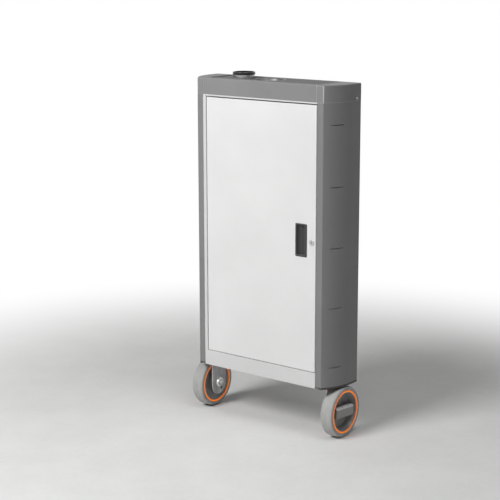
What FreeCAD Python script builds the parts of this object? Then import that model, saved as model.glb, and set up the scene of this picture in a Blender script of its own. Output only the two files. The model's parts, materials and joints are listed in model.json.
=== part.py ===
import FreeCAD, Part
import math
import os

# Side locker for the end of a tool chest: a shallow sheet-metal cabinet between two hollow corner
# posts, with a moulded cap on top, an inset door and two wheels below.
# Modelled with the door face on y = 0 and the floor on z = 0. Lengths are in millimetres.

Vec = FreeCAD.Vector

# ---- driving dimensions ----
overall_width = 517.0
depth = 132.0                # door face to the face that meets the chest
rail_height = 46.0
door_height = 762.0
door_gap = 2.0               # above and below the door
header_height = 4.0          # strip that shows above the door
cap_height = 48.0

sheet = 1.5                  # carcass sheet
door_sheet = 1.2
post_sheet = 2.0
back_sheet = 2.0
seat_gap = 0.3               # between parts that slide or only nearly touch
fit_gap = 0.05               # radial play of a pin in its bush
weld_gap = 0.02              # radial play of a pin that is fixed in its hole
past = 1.0                   # cutters run this far past what they cut

# corner posts, seen from above: front strip, bend, wide curve, flat side
post_strip = 20.3
corner_run = 98.0            # depth taken by the curve
corner_rise = 35.7           # width taken by the curve
post_bend_radius = 3.0
post_front_return = 20.0
post_rear_flange = 30.0
post_slot_count = 5
post_slot_low = 63.0         # lowest slot above the foot's underside
post_slot_high = 61.8        # highest slot below the cap
post_slot_length = 42.0
post_slot_height = 2.6
post_slot_run = 37.0         # depth of the slot's middle behind the front
foot_height = 6.0
foot_spigot = 8.0
foot_chamfer_width = 13.0
foot_chamfer_height = 9.0

# frame round the door
hinge_stile_width = 10.5
gap_hinge_side = 2.5
gap_lock_side = 1.5
lock_stile_width = 16.5
stile_flange = 16.0
panel_flange = 14.0
rail_flange = 15.0
base_plate_thickness = 3.0
base_plate_rise = 7.0        # base plate above the rail's lower edge
base_plate_flange = 24.0

# door
door_depth = 18.0
door_return = 13.0
door_edge_radius = 1.2
stiffener_width = 60.0
stiffener_depth = 13.0
stiffener_lip = 12.0
stiffener_margin = 30.0
stiffener_flank = 2.0        # width taken by each sloping side
stiffener_x = -30.0

handle_width = 40.0
handle_height = 95.0
handle_inset = 49.5          # handle's middle from the door's lock edge
handle_drop = 2.0            # below the door's middle
handle_proud = 1.5
handle_rim = 2.0
handle_wall = 2.0
handle_depth = 15.5
handle_corner = 3.0
handle_lip = 3.5             # ledge that the fingers pull
handle_lip_edge = 1.0
handle_scoop = 13.6          # curved ramp down from the far edge
handle_scoop_depth = 9.7
handle_scoop_bulge = 2.5
handle_ramp = 9.6            # straight ramp from the scoop to the floor

lock_inset = 13.0            # lock's axis from the door's edge
lock_drop = 5.0              # below the door's middle
lock_face_radius = 9.0
lock_face_proud = 2.0
lock_barrel_radius = 8.0
lock_barrel_length = 20.0
lock_plug_radius = 5.0
lock_nut_radius = 11.5
lock_nut_thickness = 4.0
lock_nut_clearance = 1.0
key_slot_width = 1.4
key_slot_height = 7.0
key_slot_depth = 9.0
cam_length = 24.0
cam_width = 11.0
cam_thickness = 2.5
cam_screw_radius = 4.5
cam_screw_head = 2.5
cam_clearance = 1.5
cam_slot_margin = 3.0

pivot_pin_radius = 3.0
pivot_inset_x = 6.0          # pivot axis from the door's hinge edge
pivot_inset_y = 5.0          # pivot axis from the door's face
pivot_bush_radius = 6.0
pivot_bush_length = 10.0
pivot_arm_length = 46.0
pivot_arm_width = 28.0
pivot_arm_margin = 1.0       # arm past the bush

catch_width = 40.0
catch_depth = 16.0
catch_height = 12.0
catch_gap = 6.0              # between the catch and the lock stile
catch_plate_margin = 4.0
catch_plate_drop = 1.0
bumper_radius = 4.5
bumper_inset = 60.0          # from the door's lower and upper edges

# inside
shelf_names = ("lower", "middle", "upper")
shelf_lowest = 161.0         # above the floor panel
shelf_pitch = 200.0
shelf_lip = 30.0
shelf_front = 30.0           # behind the door face
shelf_side_gap = 1.5
shelf_rail_width = 18.0
shelf_rail_front_inset = 28.0    # behind the shelf's front
shelf_rail_rear_inset = 20.0     # in front of the back panel
shelf_rail_margin = 16.0
shelf_slot_pitch = 50.0
shelf_slot_height = 10.0
shelf_slot_width = 5.0
clip_width = 4.6
clip_reach = 5.0
clip_ledge = 3.0
clip_tongue = 4.0
clip_drop = 1.0              # tongue below the ledge's top

# fixing to the chest
chest_hole_radius = 4.5
chest_hole_span_x = 320.0
chest_hole_span_z = 560.0

# cap
cap_wall = 3.0
cap_edge_radius = 3.0
cap_bend_radius = 4.0
cap_seam_inset = 2.7         # seam inside the post's inner edge
cap_seam_gap = 0.3
cap_front_depth = 14.0
tray_rim = 6.0
tray_recess = 2.0
tray_corner = 8.0
tray_rib_gap = 10.0
tray_rib_rise = 10.0         # ribs above the cap's lower edge
cup_x = -108.0
cup_radius = 31.0
cup_wall = 1.2
cup_proud = 15.0             # above the tray floor
cup_rim_height = 4.0
cup_bead = 1.0
cup_corner = 3.0
collar_wall = 2.3            # collar of the tray round the cup
collar_height = 3.0
cup_rim_skirt = 4.0
cup_rim_thickness = 1.8
dish_x = -19.0
dish_margin = 2.85           # dish to the tray's rim
dish_flange = 6.0
dish_depth = 13.0
dish_floor_radius = 24.0
dish_steps = 6
dish_clearance = 1.0
dish_seat = 0.6              # flange let into the tray's floor
dish_sheet = 1.2
cap_screw_radius = 4.0
cap_screw_inset = 19.0       # from the rear edge
cap_screw_recess_gap = 1.0
cap_screw_rise = 7.0
cap_screw_shank = 12.0
cap_screw_cross = 2.2
cap_screw_cross_width = 1.0

# wheels
wheel_radius = 75.0
wheel_width = 40.0
wheel_headroom = 3.0         # tyre to the feet above it
wheel_y = 76.0               # axle behind the door's face
tread_shoulder = 7.0
tread_shoulder_width = 5.6
tread_crown = 1.0
tread_steps = 4
tyre_lip = 0.5
ring_outer_radius = 62.4
ring_width = 4.0
ring_seat = 2.4              # rim's outside below the ring's
ring_thickness = 4.0
ring_crown = 0.9
ring_flat = 0.8
rim_edge_land = 1.9          # ring to the dish's mouth
rim_edge_inset = 1.5
rim_edge_break = 0.8
rim_blend = 2.0
boss_blend = 1.5
rim_dish_run = 9.0           # taken by the dish's sloping wall
rim_web_inset = 24.0
rim_web_thickness = 5.0
boss_radius = 22.0
boss_inset = 20.0
boss_rear_gap = 2.0
bearing_radius = 16.0
bearing_width = 9.0
bearing_race = 3.4
bearing_shield = 0.8
spacer_step = 0.4            # spacer inside the bearing's inner ring
axle_radius = 6.0
bracket_gap = 4.0            # wheel to bracket
bracket_thickness = 4.0
bracket_width = 62.0
bracket_drop = 6.0           # rounded end's centre below the axle
bracket_flange = 60.0
bracket_flange_thickness = 5.0
bracket_bend_radius = 7.0
bracket_corner = 10.0
foot_clearance = 1.0         # foot to the bracket that passes it
axle_head_radius = 15.0
axle_head_height = 7.0
axle_head_edge = 2.5
axle_head_face = 10.8
axle_socket_radius = 4.6
axle_socket_depth = 4.2
axle_tip_clear = 1.5         # axle's tip to the rocker pin
axle_tip_break = 1.0
locating_screw_radius = 3.4
locating_screw_y = 11.0
locating_screw_drop = 20.0
locating_collar = 1.2
locating_collar_inset = 2.0
locating_screw_inset = 1.0
locating_socket_radius = 1.6
locating_socket_depth = 2.0
caster_bolt_radius = 4.0
caster_bolt_head = 6.5
caster_bolt_head_height = 4.5
caster_bolt_spare = 9.0      # above the base plate
caster_nut_height = 6.0
caster_bolt_near = 20.0      # from the bracket leg
caster_bolt_far = 50.0
caster_bolt_side = 20.0

# brake rocker in the dished outer face of each wheel
rocker_length = 88.0
rocker_height = 35.0
rocker_depth = 15.5
rocker_wall = 2.5
rocker_corner = 6.0
rocker_edge = 1.6
rocker_rake = 4.0            # each end slopes in by this towards the back
rocker_tilt = 4.5            # degrees, rear end down
rocker_rib_gap = 13.0        # rib to the axle line
rocker_rib = 4.0
rocker_rib_inset = 1.0       # behind the rocker's rear edge
rocker_pin_radius = 2.5
rocker_pin_inset = 9.5
carrier_front = 5.5
carrier_height = 14.0
carrier_neck = 3.0

# ---- worked-out levels and places ----
half_width = overall_width / 2
strip_outer = half_width - corner_rise
strip_inner = strip_outer - post_strip
base_height = 2 * wheel_radius + wheel_headroom
rail_top = base_height + rail_height
door_bottom = rail_top + door_gap
door_top = door_bottom + door_height
header_bottom = door_top + door_gap
cap_bottom = header_bottom + header_height
cap_top = cap_bottom + cap_height
slot_lowest, slot_highest = base_height + post_slot_low, cap_bottom - post_slot_high
slot_pitch = (slot_highest - slot_lowest) / (post_slot_count - 1)
door_left = -strip_inner + hinge_stile_width + gap_hinge_side
door_right = strip_inner - gap_lock_side
door_middle = (door_bottom + door_top) / 2
handle_x, handle_z = door_right - handle_inset, door_middle - handle_drop
lock_x, lock_z = door_right - lock_inset, door_middle - lock_drop
side_x = strip_inner + post_sheet          # inner face of the side panels
back_front = depth - back_sheet
base_plate_bottom = base_height + base_plate_rise
base_plate_top = base_plate_bottom + base_plate_thickness
post_rear_x = half_width - post_rear_flange
tray_floor = cap_top - tray_recess
tray_front = cap_front_depth + cap_seam_gap
tray_middle = (tray_front + depth) / 2
dish_radius = (depth - tray_front) / 2 - tray_rim - dish_margin
cap_seam_x = strip_inner - cap_seam_inset
cap_screw_y = depth - cap_screw_inset
shelf_levels = [rail_top + shelf_lowest + i * shelf_pitch for i in range(len(shelf_names))]
shelf_rail_places = (shelf_front + shelf_rail_front_inset, back_front - shelf_rail_rear_inset)
catch_x = side_x - lock_stile_width - catch_gap - catch_width
pivot_x = door_left + pivot_inset_x
pivot_y = pivot_inset_y
cam_front = lock_barrel_length + seat_gap
corner_radius = (corner_run ** 2 + corner_rise ** 2) / (2 * corner_rise)
leg_inset = wheel_width + bracket_gap      # wheel's outer face to the bracket leg
bearing_rear = wheel_width - boss_rear_gap
spacer_radius = axle_radius + bearing_race - spacer_step
cap_screw_seat = half_width - cap_wall * 0.7
ring_inner_radius = ring_outer_radius - ring_width
rim_radius = ring_outer_radius - ring_seat
rim_edge_radius = ring_inner_radius - rim_edge_land
rim_web_radius = rim_edge_radius - rim_dish_run

# The origin is on the floor, under the middle of the outline.
front_reach = -lock_face_proud
rear_reach = wheel_y + wheel_radius
origin = Vec(0, (front_reach + rear_reach) / 2, 0)


# ---- helpers ----
def box(x0, x1, y0, y1, z0, z1):
    return Part.makeBox(x1 - x0, y1 - y0, z1 - z0, Vec(x0, y0, z0))


def rod(radius, length, start, axis):
    return Part.makeCylinder(radius, length, Vec(*start), Vec(*axis))


def tube(outer, inner, length, start, axis):
    return rod(outer, length, start, axis).cut(rod(inner, length, start, axis))


def join(*solids):
    result = solids[0].fuse(list(solids[1:]))
    return result.removeSplitter()


def flat_face(points):
    return Part.Face(Part.makePolygon([Vec(*p) for p in points + points[:1]]))


def fillet(solid, radius, choose):
    edges = [e for e in solid.Edges if choose(e)]
    return solid.makeFillet(radius, edges)


def chamfer(solid, size, choose):
    edges = [e for e in solid.Edges if choose(e)]
    return solid.makeChamfer(size, edges)


def vertical(edge):
    ends = [v.Point for v in edge.Vertexes]
    return len(ends) == 2 and (ends[0] - ends[1]).cross(Vec(0, 0, 1)).Length < 1e-6


def at(edge, x=None, y=None, z=None):
    middle = edge.BoundBox.Center
    wanted = ((x, middle.x), (y, middle.y), (z, middle.z))
    return all(want is None or abs(want - have) < 0.01 for want, have in wanted)


def mirrored(shape):
    return shape.mirror(Vec(0, 0, 0), Vec(1, 0, 0))


def both(shape):
    """A right-hand solid and its mirror image on the left."""
    return [shape, mirrored(shape)]


def rounded_plate(x0, x1, z0, z1, y0, y1, radius):
    return fillet(box(x0, x1, y0, y1, z0, z1), radius,
                  lambda e: (e.Vertexes[0].Point - e.Vertexes[-1].Point).cross(Vec(0, 1, 0)).Length < 1e-6)


def spun(profile, x_outer, y, z):
    """Turns (radius, inset) points about a wheel's axle; inset runs inwards from the outer face."""
    points = [Vec(x_outer - inset, y, z + radius) for radius, inset in profile]
    face = Part.Face(Part.makePolygon(points + points[:1]))
    return face.revolve(Vec(x_outer, y, z), Vec(1, 0, 0), 360)


def turned(profile, x, y):
    """Turns (radius, height) points about an upright axis."""
    points = [Vec(x + radius, y, height) for radius, height in profile]
    face = Part.Face(Part.makePolygon(points + points[:1]))
    return face.revolve(Vec(x, y, 0), Vec(0, 0, 1), 360)


made = []


def save(name, *solids):
    shapes = []
    for solid in solids:
        shape = solid.copy()
        shape.translate(origin.negative())
        shapes += shape.Solids
    whole = shapes[0] if len(shapes) == 1 else Part.makeCompound(shapes)
    bad = [s for s in shapes if not s.isValid() or s.Volume <= 0]
    if bad:
        raise RuntimeError(name + " has an invalid solid")
    whole.exportStep("parts/" + name + ".step")
    made.append((name, len(shapes)))


# ---- corner posts ----
def post_face(inner_x):
    """Outline of the right-hand post seen from above, back to inner_x."""
    centre = Vec(half_width - corner_radius, corner_run, 0)
    start = Vec(strip_outer, 0, 0)
    end = Vec(half_width, corner_run, 0)
    half_turn = math.atan2(-corner_run, strip_outer - centre.x) / 2
    middle = centre + Vec(math.cos(half_turn), math.sin(half_turn), 0) * corner_radius
    edges = [Part.LineSegment(Vec(inner_x, 0, 0), start).toShape(),
             Part.Arc(start, middle, end).toShape(),
             Part.LineSegment(end, Vec(half_width, depth, 0)).toShape(),
             Part.LineSegment(Vec(half_width, depth, 0), Vec(inner_x, depth, 0)).toShape(),
             Part.LineSegment(Vec(inner_x, depth, 0), Vec(inner_x, 0, 0)).toShape()]
    return Part.Face(Part.Wire(edges))


def prism(face, z0, z1):
    solid = face.extrude(Vec(0, 0, z1 - z0))
    solid.translate(Vec(0, 0, z0))
    return solid


def foot_chamfer(reach):
    face = flat_face([(strip_inner - past, -past, base_height - past),
                      (strip_inner - past, -past, base_height + foot_chamfer_height),
                      (strip_inner, -past, base_height + foot_chamfer_height),
                      (strip_inner + foot_chamfer_width, -past, base_height),
                      (strip_inner + foot_chamfer_width, -past, base_height - past)])
    return face.extrude(Vec(0, reach + past, 0))


def post_slot(height):
    angle = math.acos((corner_run - post_slot_run) / corner_radius)
    centre = Vec(half_width - corner_radius, corner_run, height)
    outward = Vec(math.sin(angle), -math.cos(angle), 0)
    along = Vec(math.cos(angle), math.sin(angle), 0)
    straight = post_slot_length - post_slot_height
    cutter_depth = 12.0
    slot = Part.makeBox(straight, cutter_depth, post_slot_height)
    slot.translate(Vec(-straight / 2, -cutter_depth / 2, -post_slot_height / 2))
    ends = [Part.makeCylinder(post_slot_height / 2, cutter_depth, Vec(s * straight / 2, -cutter_depth / 2, 0),
                              Vec(0, 1, 0)) for s in (-1, 1)]
    slot = slot.fuse(ends)
    slot.rotate(Vec(0, 0, 0), Vec(0, 0, 1), math.degrees(math.atan2(along.y, along.x)))
    slot.translate(centre + outward * corner_radius)
    return slot


def corner_post():
    bottom = base_height + foot_height
    face = post_face(strip_inner)
    outer = prism(face, bottom, cap_bottom)
    outer = fillet(outer, post_bend_radius, lambda e: vertical(e) and at(e, x=strip_outer, y=0))
    inner = prism(face.makeOffset2D(-post_sheet), bottom - past, cap_bottom + past)
    post = outer.cut(inner)
    post = post.cut(box(strip_inner - past, side_x + past, post_front_return, depth + past, 0, cap_top))
    post = post.cut(box(strip_inner - past, post_rear_x, depth / 2, depth + past, 0, cap_top))
    slots = [post_slot(slot_lowest + i * slot_pitch) for i in range(post_slot_count)]
    return post.cut(slots).cut(foot_chamfer(post_sheet))


def post_foot():
    plate = prism(post_face(strip_inner), base_height, base_height + foot_height)
    plate = fillet(plate, post_bend_radius, lambda e: vertical(e) and at(e, x=strip_outer, y=0))
    outline = post_face(strip_inner)
    spigot_top = base_height + foot_height + foot_spigot
    wall = post_sheet + seat_gap
    ring = outline.makeOffset2D(-wall).cut(outline.makeOffset2D(-wall - post_sheet))
    spigot = prism(ring, base_height + foot_height, spigot_top)
    spigot = spigot.cut(box(strip_inner - past, side_x + sheet + past, -past, depth + past,
                            0, spigot_top + past))
    rear = depth - wall - post_sheet - sheet
    spigot = spigot.cut(box(strip_inner, half_width, rear, depth, 0, spigot_top + past))
    foot = join(plate, spigot)
    foot = foot.cut(box(strip_inner - past, post_rear_x, back_front, depth + past, 0, spigot_top))
    notch_x = half_width - leg_inset + foot_clearance
    half = bracket_width / 2 + foot_clearance
    notch = box(strip_inner - past, notch_x, wheel_y - half, wheel_y + half,
                base_height - past, base_height + foot_height + past)
    return foot.cut(notch).cut(foot_chamfer(foot_chamfer_width))


# ---- sheet-metal carcass ----
def notched_plate(y0, y1, z0, z1):
    """A flat sheet between the side panels that steps in between the posts' front returns."""
    wide = box(-side_x, side_x, max(y0, post_front_return), y1, z0, z1)
    narrow = box(-strip_inner, strip_inner, y0, max(y0, post_front_return), z0, z1)
    return join(wide, narrow)


def side_panel():
    wall = box(side_x, side_x + sheet, post_sheet, back_front, base_plate_bottom, cap_bottom)
    edge = post_rear_x + panel_flange
    flange = box(side_x, edge, back_front - sheet, back_front, base_plate_bottom, cap_bottom)
    flange_foot = base_height + foot_height + foot_spigot
    clear = box(side_x + sheet + past, half_width, back_front - sheet - past, depth, 0, flange_foot + past)
    return join(wall, flange).cut(clear)


def cam_slot():
    low = lock_z - cam_length - cam_slot_margin
    high = lock_z + cam_width / 2 + cam_slot_margin
    return box(side_x - past, side_x + sheet + past, cam_front - cam_clearance,
               cam_front + cam_thickness + cam_clearance, low, high)


def back_panel():
    panel = box(-post_rear_x, post_rear_x, back_front, depth, base_height, cap_bottom)
    middle = (rail_top + cap_bottom) / 2
    for sx in (-1, 1):
        for sz in (-1, 1):
            start = (sx * chest_hole_span_x / 2, back_front - past, middle + sz * chest_hole_span_z / 2)
            panel = panel.cut(rod(chest_hole_radius, back_sheet + 2 * past, start, (0, 1, 0)))
    return panel


def top_panel():
    plate = notched_plate(0, back_front, cap_bottom - sheet, cap_bottom)
    lip = box(-strip_inner, strip_inner, 0, sheet, header_bottom, cap_bottom)
    low = cap_bottom - panel_flange
    sides = [box(s - sheet * (s > 0), s + sheet * (s < 0), post_front_return + panel_flange, back_front,
                 low, cap_bottom) for s in (-side_x, side_x)]
    rear = box(-side_x, side_x, back_front - sheet, back_front, low, cap_bottom)
    return join(plate, lip, rear, *sides)


def floor_panel():
    plate = notched_plate(rail_flange, back_front, rail_top - sheet, rail_top)
    low = rail_top - panel_flange
    sides = [box(s - sheet * (s > 0), s + sheet * (s < 0), post_front_return, back_front, low, rail_top)
             for s in (-side_x, side_x)]
    rear = box(-side_x, side_x, back_front - sheet, back_front, low, rail_top)
    return join(plate, rear, *sides)


def base_rail():
    x = strip_inner - seat_gap
    web = box(-x, x, 0, sheet, base_height, rail_top)
    top = box(-x, x, 0, rail_flange, rail_top - sheet, rail_top)
    bottom = box(-x, x, 0, rail_flange, base_height, base_height + sheet)
    rail = join(web, top, bottom)
    return fillet(rail, sheet * 0.8, lambda e: at(e, x=0, y=0, z=base_height) or at(e, x=0, y=0, z=rail_top))


def base_plate():
    plate = notched_plate(sheet, back_front, base_plate_bottom, base_plate_top)
    high = base_plate_bottom + base_plate_flange
    front = box(-strip_inner, strip_inner, sheet, sheet + base_plate_thickness, base_plate_bottom, high)
    rear = box(-side_x, side_x, back_front - base_plate_thickness, back_front, base_plate_bottom, high)
    plate = join(plate, front, rear)
    for x, y in caster_bolt_places():
        plate = plate.cut([rod(caster_bolt_radius + weld_gap, base_plate_thickness + 2 * past,
                               (s * x, y, base_plate_bottom - past), (0, 0, 1)) for s in (-1, 1)])
    return plate


def hinge_stile():
    left = -strip_inner
    right = left + hinge_stile_width
    outer = box(left, right, 0, post_front_return, rail_top, header_bottom)
    inner = box(left + sheet, right - sheet, sheet, post_front_return + past,
                rail_top - past, header_bottom + past)
    stile = outer.cut(inner)
    return fillet(stile, sheet * 0.8, lambda e: vertical(e) and at(e, x=right, y=0))


def lock_stile():
    high = cap_bottom - sheet
    left = side_x - lock_stile_width
    front = box(left, side_x, post_front_return, post_front_return + sheet, rail_top, high)
    flange = box(side_x - sheet, side_x, post_front_return, post_front_return + stile_flange, rail_top, high)
    reach = cam_length + cam_width
    window = box(left - past, side_x + past, post_front_return - past,
                 cam_front + cam_thickness + cam_screw_head + cam_clearance, lock_z - reach, lock_z + reach)
    corner = box(side_x - sheet - past, side_x + past, post_front_return + stile_flange / 2, depth / 2,
                 high - panel_flange, high + past)
    return join(front, flange).cut(window).cut(corner)


# ---- door ----
def handle_box(margin):
    return (handle_x - handle_width / 2 + margin, handle_x + handle_width / 2 - margin,
            handle_z - handle_height / 2 + margin, handle_z + handle_height / 2 - margin)


def door_panel():
    outer = box(door_left, door_right, 0, door_depth, door_bottom, door_top)
    outer = fillet(outer, door_edge_radius, lambda e: at(e, y=0))
    t = door_sheet
    cavity = box(door_left + t, door_right - t, t, door_depth - t, door_bottom + t, door_top - t)
    mouth = box(door_left + door_return, door_right - door_return, t, door_depth + past,
                door_bottom + door_return, door_top - door_return)
    panel = outer.cut(cavity).cut(mouth)
    x0, x1, z0, z1 = handle_box(handle_rim)
    panel = panel.cut(rounded_plate(x0, x1, z0, z1, -past, t + past, handle_corner - handle_rim / 2))
    panel = panel.cut(rod(lock_barrel_radius, t + 2 * past, (lock_x, -past, lock_z), (0, 1, 0)))
    room = lock_nut_radius + lock_nut_clearance
    panel = panel.cut(box(door_right - door_return - past, min(lock_x + room, door_right - t), door_depth - t,
                          door_depth + past, lock_z - room, lock_z + room))
    start = (pivot_x, pivot_y, door_bottom - past)
    return panel.cut(rod(pivot_pin_radius + seat_gap, door_height + 2 * past, start, (0, 0, 1)))


def door_stiffener():
    t, f = door_sheet, stiffener_flank
    low, high = door_bottom + stiffener_margin, door_top - stiffener_margin
    half = stiffener_width / 2
    inner_half = half - stiffener_lip
    back = t + stiffener_depth
    points = [(-half, t), (-inner_half, t), (-inner_half + f, back - t), (inner_half - f, back - t),
              (inner_half, t), (half, t), (half, 2 * t), (inner_half + t, 2 * t), (inner_half - f + t, back),
              (-inner_half + f - t, back), (-inner_half - t, 2 * t), (-half, 2 * t)]
    face = flat_face([(stiffener_x + x, y, low) for x, y in points])
    return face.extrude(Vec(0, 0, high - low))


def handle_cup():
    x0, x1, z0, z1 = handle_box(0)
    flange = rounded_plate(x0, x1, z0, z1, -handle_proud, 0, handle_corner)
    flange = fillet(flange, handle_proud * 0.6, lambda e: at(e, y=-handle_proud))
    x0, x1, z0, z1 = handle_box(handle_rim)
    body = rounded_plate(x0, x1, z0, z1, 0, handle_depth, handle_corner - handle_rim / 2)
    cup = join(flange, body)
    half = handle_width / 2 - handle_rim - handle_wall
    floor = handle_depth - handle_wall
    scoop_end = handle_scoop - half
    points = [(-half, -handle_proud - past), (-half, 0), (scoop_end, handle_scoop_depth),
              (scoop_end + handle_ramp, floor), (half, floor), (half, handle_lip),
              (half - handle_lip, handle_lip_edge), (half - handle_lip, -handle_proud - past)]
    path = [Vec(handle_x + x, y, z0 + handle_wall) for x, y in points]
    run = path[2] - path[1]
    bulge = Vec(-run.y, run.x, 0).normalize() * handle_scoop_bulge
    edges = [Part.LineSegment(path[0], path[1]).toShape(),
             Part.Arc(path[1], (path[1] + path[2]) * 0.5 + bulge, path[2]).toShape()]
    edges += [Part.LineSegment(path[i], path[i + 1]).toShape() for i in range(2, len(path) - 1)]
    edges.append(Part.LineSegment(path[-1], path[0]).toShape())
    pocket = Part.Face(Part.Wire(edges)).extrude(Vec(0, 0, z1 - z0 - 2 * handle_wall))
    return cup.cut(pocket)


def lock_housing():
    face = rod(lock_face_radius, lock_face_proud, (lock_x, -lock_face_proud, lock_z), (0, 1, 0))
    face = chamfer(face, lock_face_proud * 0.4, lambda e: at(e, y=-lock_face_proud))
    barrel = rod(lock_barrel_radius, lock_barrel_length, (lock_x, 0, lock_z), (0, 1, 0))
    bore = rod(lock_plug_radius + fit_gap, lock_barrel_length + 2 * lock_face_proud + 2 * past,
               (lock_x, -lock_face_proud - past, lock_z), (0, 1, 0))
    return join(face, barrel).cut(bore)


def lock_nut():
    start = Vec(lock_x, door_sheet, lock_z)
    corners = [start + Vec(math.cos(math.radians(60 * i)), 0, math.sin(math.radians(60 * i)))
               * lock_nut_radius for i in range(6)]
    nut = Part.Face(Part.makePolygon(corners + corners[:1])).extrude(Vec(0, lock_nut_thickness, 0))
    return nut.cut(rod(lock_barrel_radius + weld_gap, lock_nut_thickness + 2 * past,
                       (lock_x, 0, lock_z), (0, 1, 0)))


def lock_plug():
    length = lock_face_proud + lock_barrel_length + seat_gap
    plug = rod(lock_plug_radius, length, (lock_x, -lock_face_proud, lock_z), (0, 1, 0))
    square = lock_plug_radius * 0.6
    drive = box(lock_x - square, lock_x + square, cam_front, cam_front + cam_thickness,
                lock_z - square, lock_z + square)
    slot = box(lock_x - key_slot_width / 2, lock_x + key_slot_width / 2, -lock_face_proud - past,
               key_slot_depth, lock_z - key_slot_height / 2, lock_z + key_slot_height / 2)
    return join(plug, drive).cut(slot)


def lock_cam():
    half = cam_width / 2
    arm = box(lock_x - half, lock_x + half, cam_front, cam_front + cam_thickness, lock_z - cam_length, lock_z)
    arm = fillet(arm, half * 0.6, lambda e: at(e, y=cam_front + cam_thickness / 2, z=lock_z - cam_length))
    hub = rod(lock_barrel_radius, cam_thickness, (lock_x, cam_front, lock_z), (0, 1, 0))
    square = lock_plug_radius * 0.6 + weld_gap
    hole = box(lock_x - square, lock_x + square, cam_front - past, cam_front + cam_thickness + past,
               lock_z - square, lock_z + square)
    return join(arm, hub).cut(hole)


def cam_screw():
    start = cam_front + cam_thickness
    head = rod(cam_screw_radius, cam_screw_head, (lock_x, start, lock_z), (0, 1, 0))
    return chamfer(head, cam_screw_head / 3, lambda e: at(e, y=start + cam_screw_head))


# ---- door pivots, catch and buffers ----
def pivot_arm(z0, thickness):
    plate = box(pivot_x - pivot_bush_radius - pivot_arm_margin, pivot_x + pivot_arm_width - pivot_bush_radius,
                sheet + seat_gap, pivot_arm_length, z0, z0 + thickness)
    plate = fillet(plate, pivot_bush_radius - pivot_arm_margin,
                   lambda e: vertical(e) and e.BoundBox.Center.y < pivot_y)
    return plate.cut(rod(pivot_pin_radius + weld_gap, thickness + 2 * past,
                         (pivot_x, pivot_y, z0 - past), (0, 0, 1)))


def pivot_pin(z0, z1):
    return rod(pivot_pin_radius, z1 - z0, (pivot_x, pivot_y, z0), (0, 0, 1))


def pivot_bush(z0):
    """A bush with flats where it seats on the door's face and edge."""
    start = (pivot_x, pivot_y, z0)
    bush = tube(pivot_bush_radius, pivot_pin_radius + fit_gap, pivot_bush_length, start, (0, 0, 1))
    low, high = z0 - past, z0 + pivot_bush_length + past
    reach = 2 * pivot_bush_radius
    door_face = box(pivot_x - reach, pivot_x + reach, -reach, door_sheet, low, high)
    door_edge = box(pivot_x - reach, door_left + door_sheet, -reach, reach, low, high)
    return bush.cut([door_face, door_edge])


def catch_magnet():
    top = cap_bottom - sheet
    block = box(catch_x, catch_x + catch_width, post_front_return, post_front_return + catch_depth,
                top - catch_height, top)
    return fillet(block, sheet, lambda e: at(e, z=top - catch_height))


def catch_plate():
    return box(catch_x + catch_plate_margin, catch_x + catch_width - catch_plate_margin, door_depth,
               post_front_return - seat_gap, door_top - catch_height, door_top - catch_plate_drop)


def buffers():
    x = door_right - door_return / 2
    length = post_front_return - seat_gap - door_depth
    return [rod(bumper_radius, length, (x, door_depth, z), (0, 1, 0))
            for z in (door_bottom + bumper_inset, door_top - bumper_inset)]


# ---- shelves ----
def shelf(level):
    x = side_x - sheet - shelf_side_gap
    rear = back_front - seat_gap
    plate = box(-x, x, shelf_front, rear, level, level + sheet)
    lip = box(-x, x, shelf_front, shelf_front + sheet, level, level + shelf_lip)
    hem = box(-x, x, shelf_front, shelf_front + 3 * sheet, level + shelf_lip - sheet, level + shelf_lip)
    back = box(-x, x, rear - sheet, rear, level, level + shelf_lip / 2)
    return join(plate, lip, hem, back)


def shelf_rail_span():
    return rail_top + shelf_rail_margin, cap_bottom - sheet - panel_flange - shelf_rail_margin / 2


def shelf_slots(y):
    slots = []
    half = shelf_slot_width / 2
    for level in shelf_levels:
        for step in (-1, 0, 1):
            z = level - sheet + step * shelf_slot_pitch
            slots.append(box(side_x - sheet - past, side_x + past, y - half, y + half,
                             z - shelf_slot_height / 2, z + shelf_slot_height / 2))
    return slots


def shelf_rails():
    low, high = shelf_rail_span()
    rails = []
    for y in shelf_rail_places:
        strip = box(side_x - sheet, side_x, y - shelf_rail_width / 2, y + shelf_rail_width / 2, low, high)
        strip = strip.cut(shelf_slots(y))
        rails += [strip, mirrored(strip)]
    return rails


def shelf_clips(level):
    clips = []
    for y in shelf_rail_places:
        y0, y1 = y - clip_width / 2, y + clip_width / 2
        top = level - clip_drop
        tongue = box(side_x - sheet, side_x, y0, y1, top - clip_tongue, top)
        ledge = box(side_x - sheet - clip_reach, side_x - sheet, y0, y1, level - clip_ledge, level)
        clip = join(tongue, ledge)
        clips += [clip, mirrored(clip)]
    return clips


# ---- cap ----
def cap_corner():
    seam = cap_seam_x + cap_seam_gap / 2
    face = post_face(seam)
    outer = prism(face, cap_bottom, cap_top)
    outer = fillet(outer, cap_bend_radius, lambda e: vertical(e) and at(e, x=strip_outer, y=0))
    outer = fillet(outer, cap_edge_radius,
                   lambda e: abs(e.BoundBox.ZMin - cap_top) < 0.01 and e.BoundBox.XMax > seam + cap_wall
                   and e.BoundBox.YMin < depth - cap_wall)
    inner = prism(face.makeOffset2D(-cap_wall), cap_bottom - past, cap_top - cap_wall)
    corner = outer.cut(inner)
    z = cap_bottom + cap_screw_rise
    recess = rod(cap_screw_radius + cap_screw_recess_gap, cap_wall, (cap_screw_seat, cap_screw_y, z),
                 (1, 0, 0))
    hole = rod(cap_screw_radius / 2, 3 * cap_wall, (half_width - 2 * cap_wall, cap_screw_y, z), (1, 0, 0))
    return corner.cut(recess).cut(hole)


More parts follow.
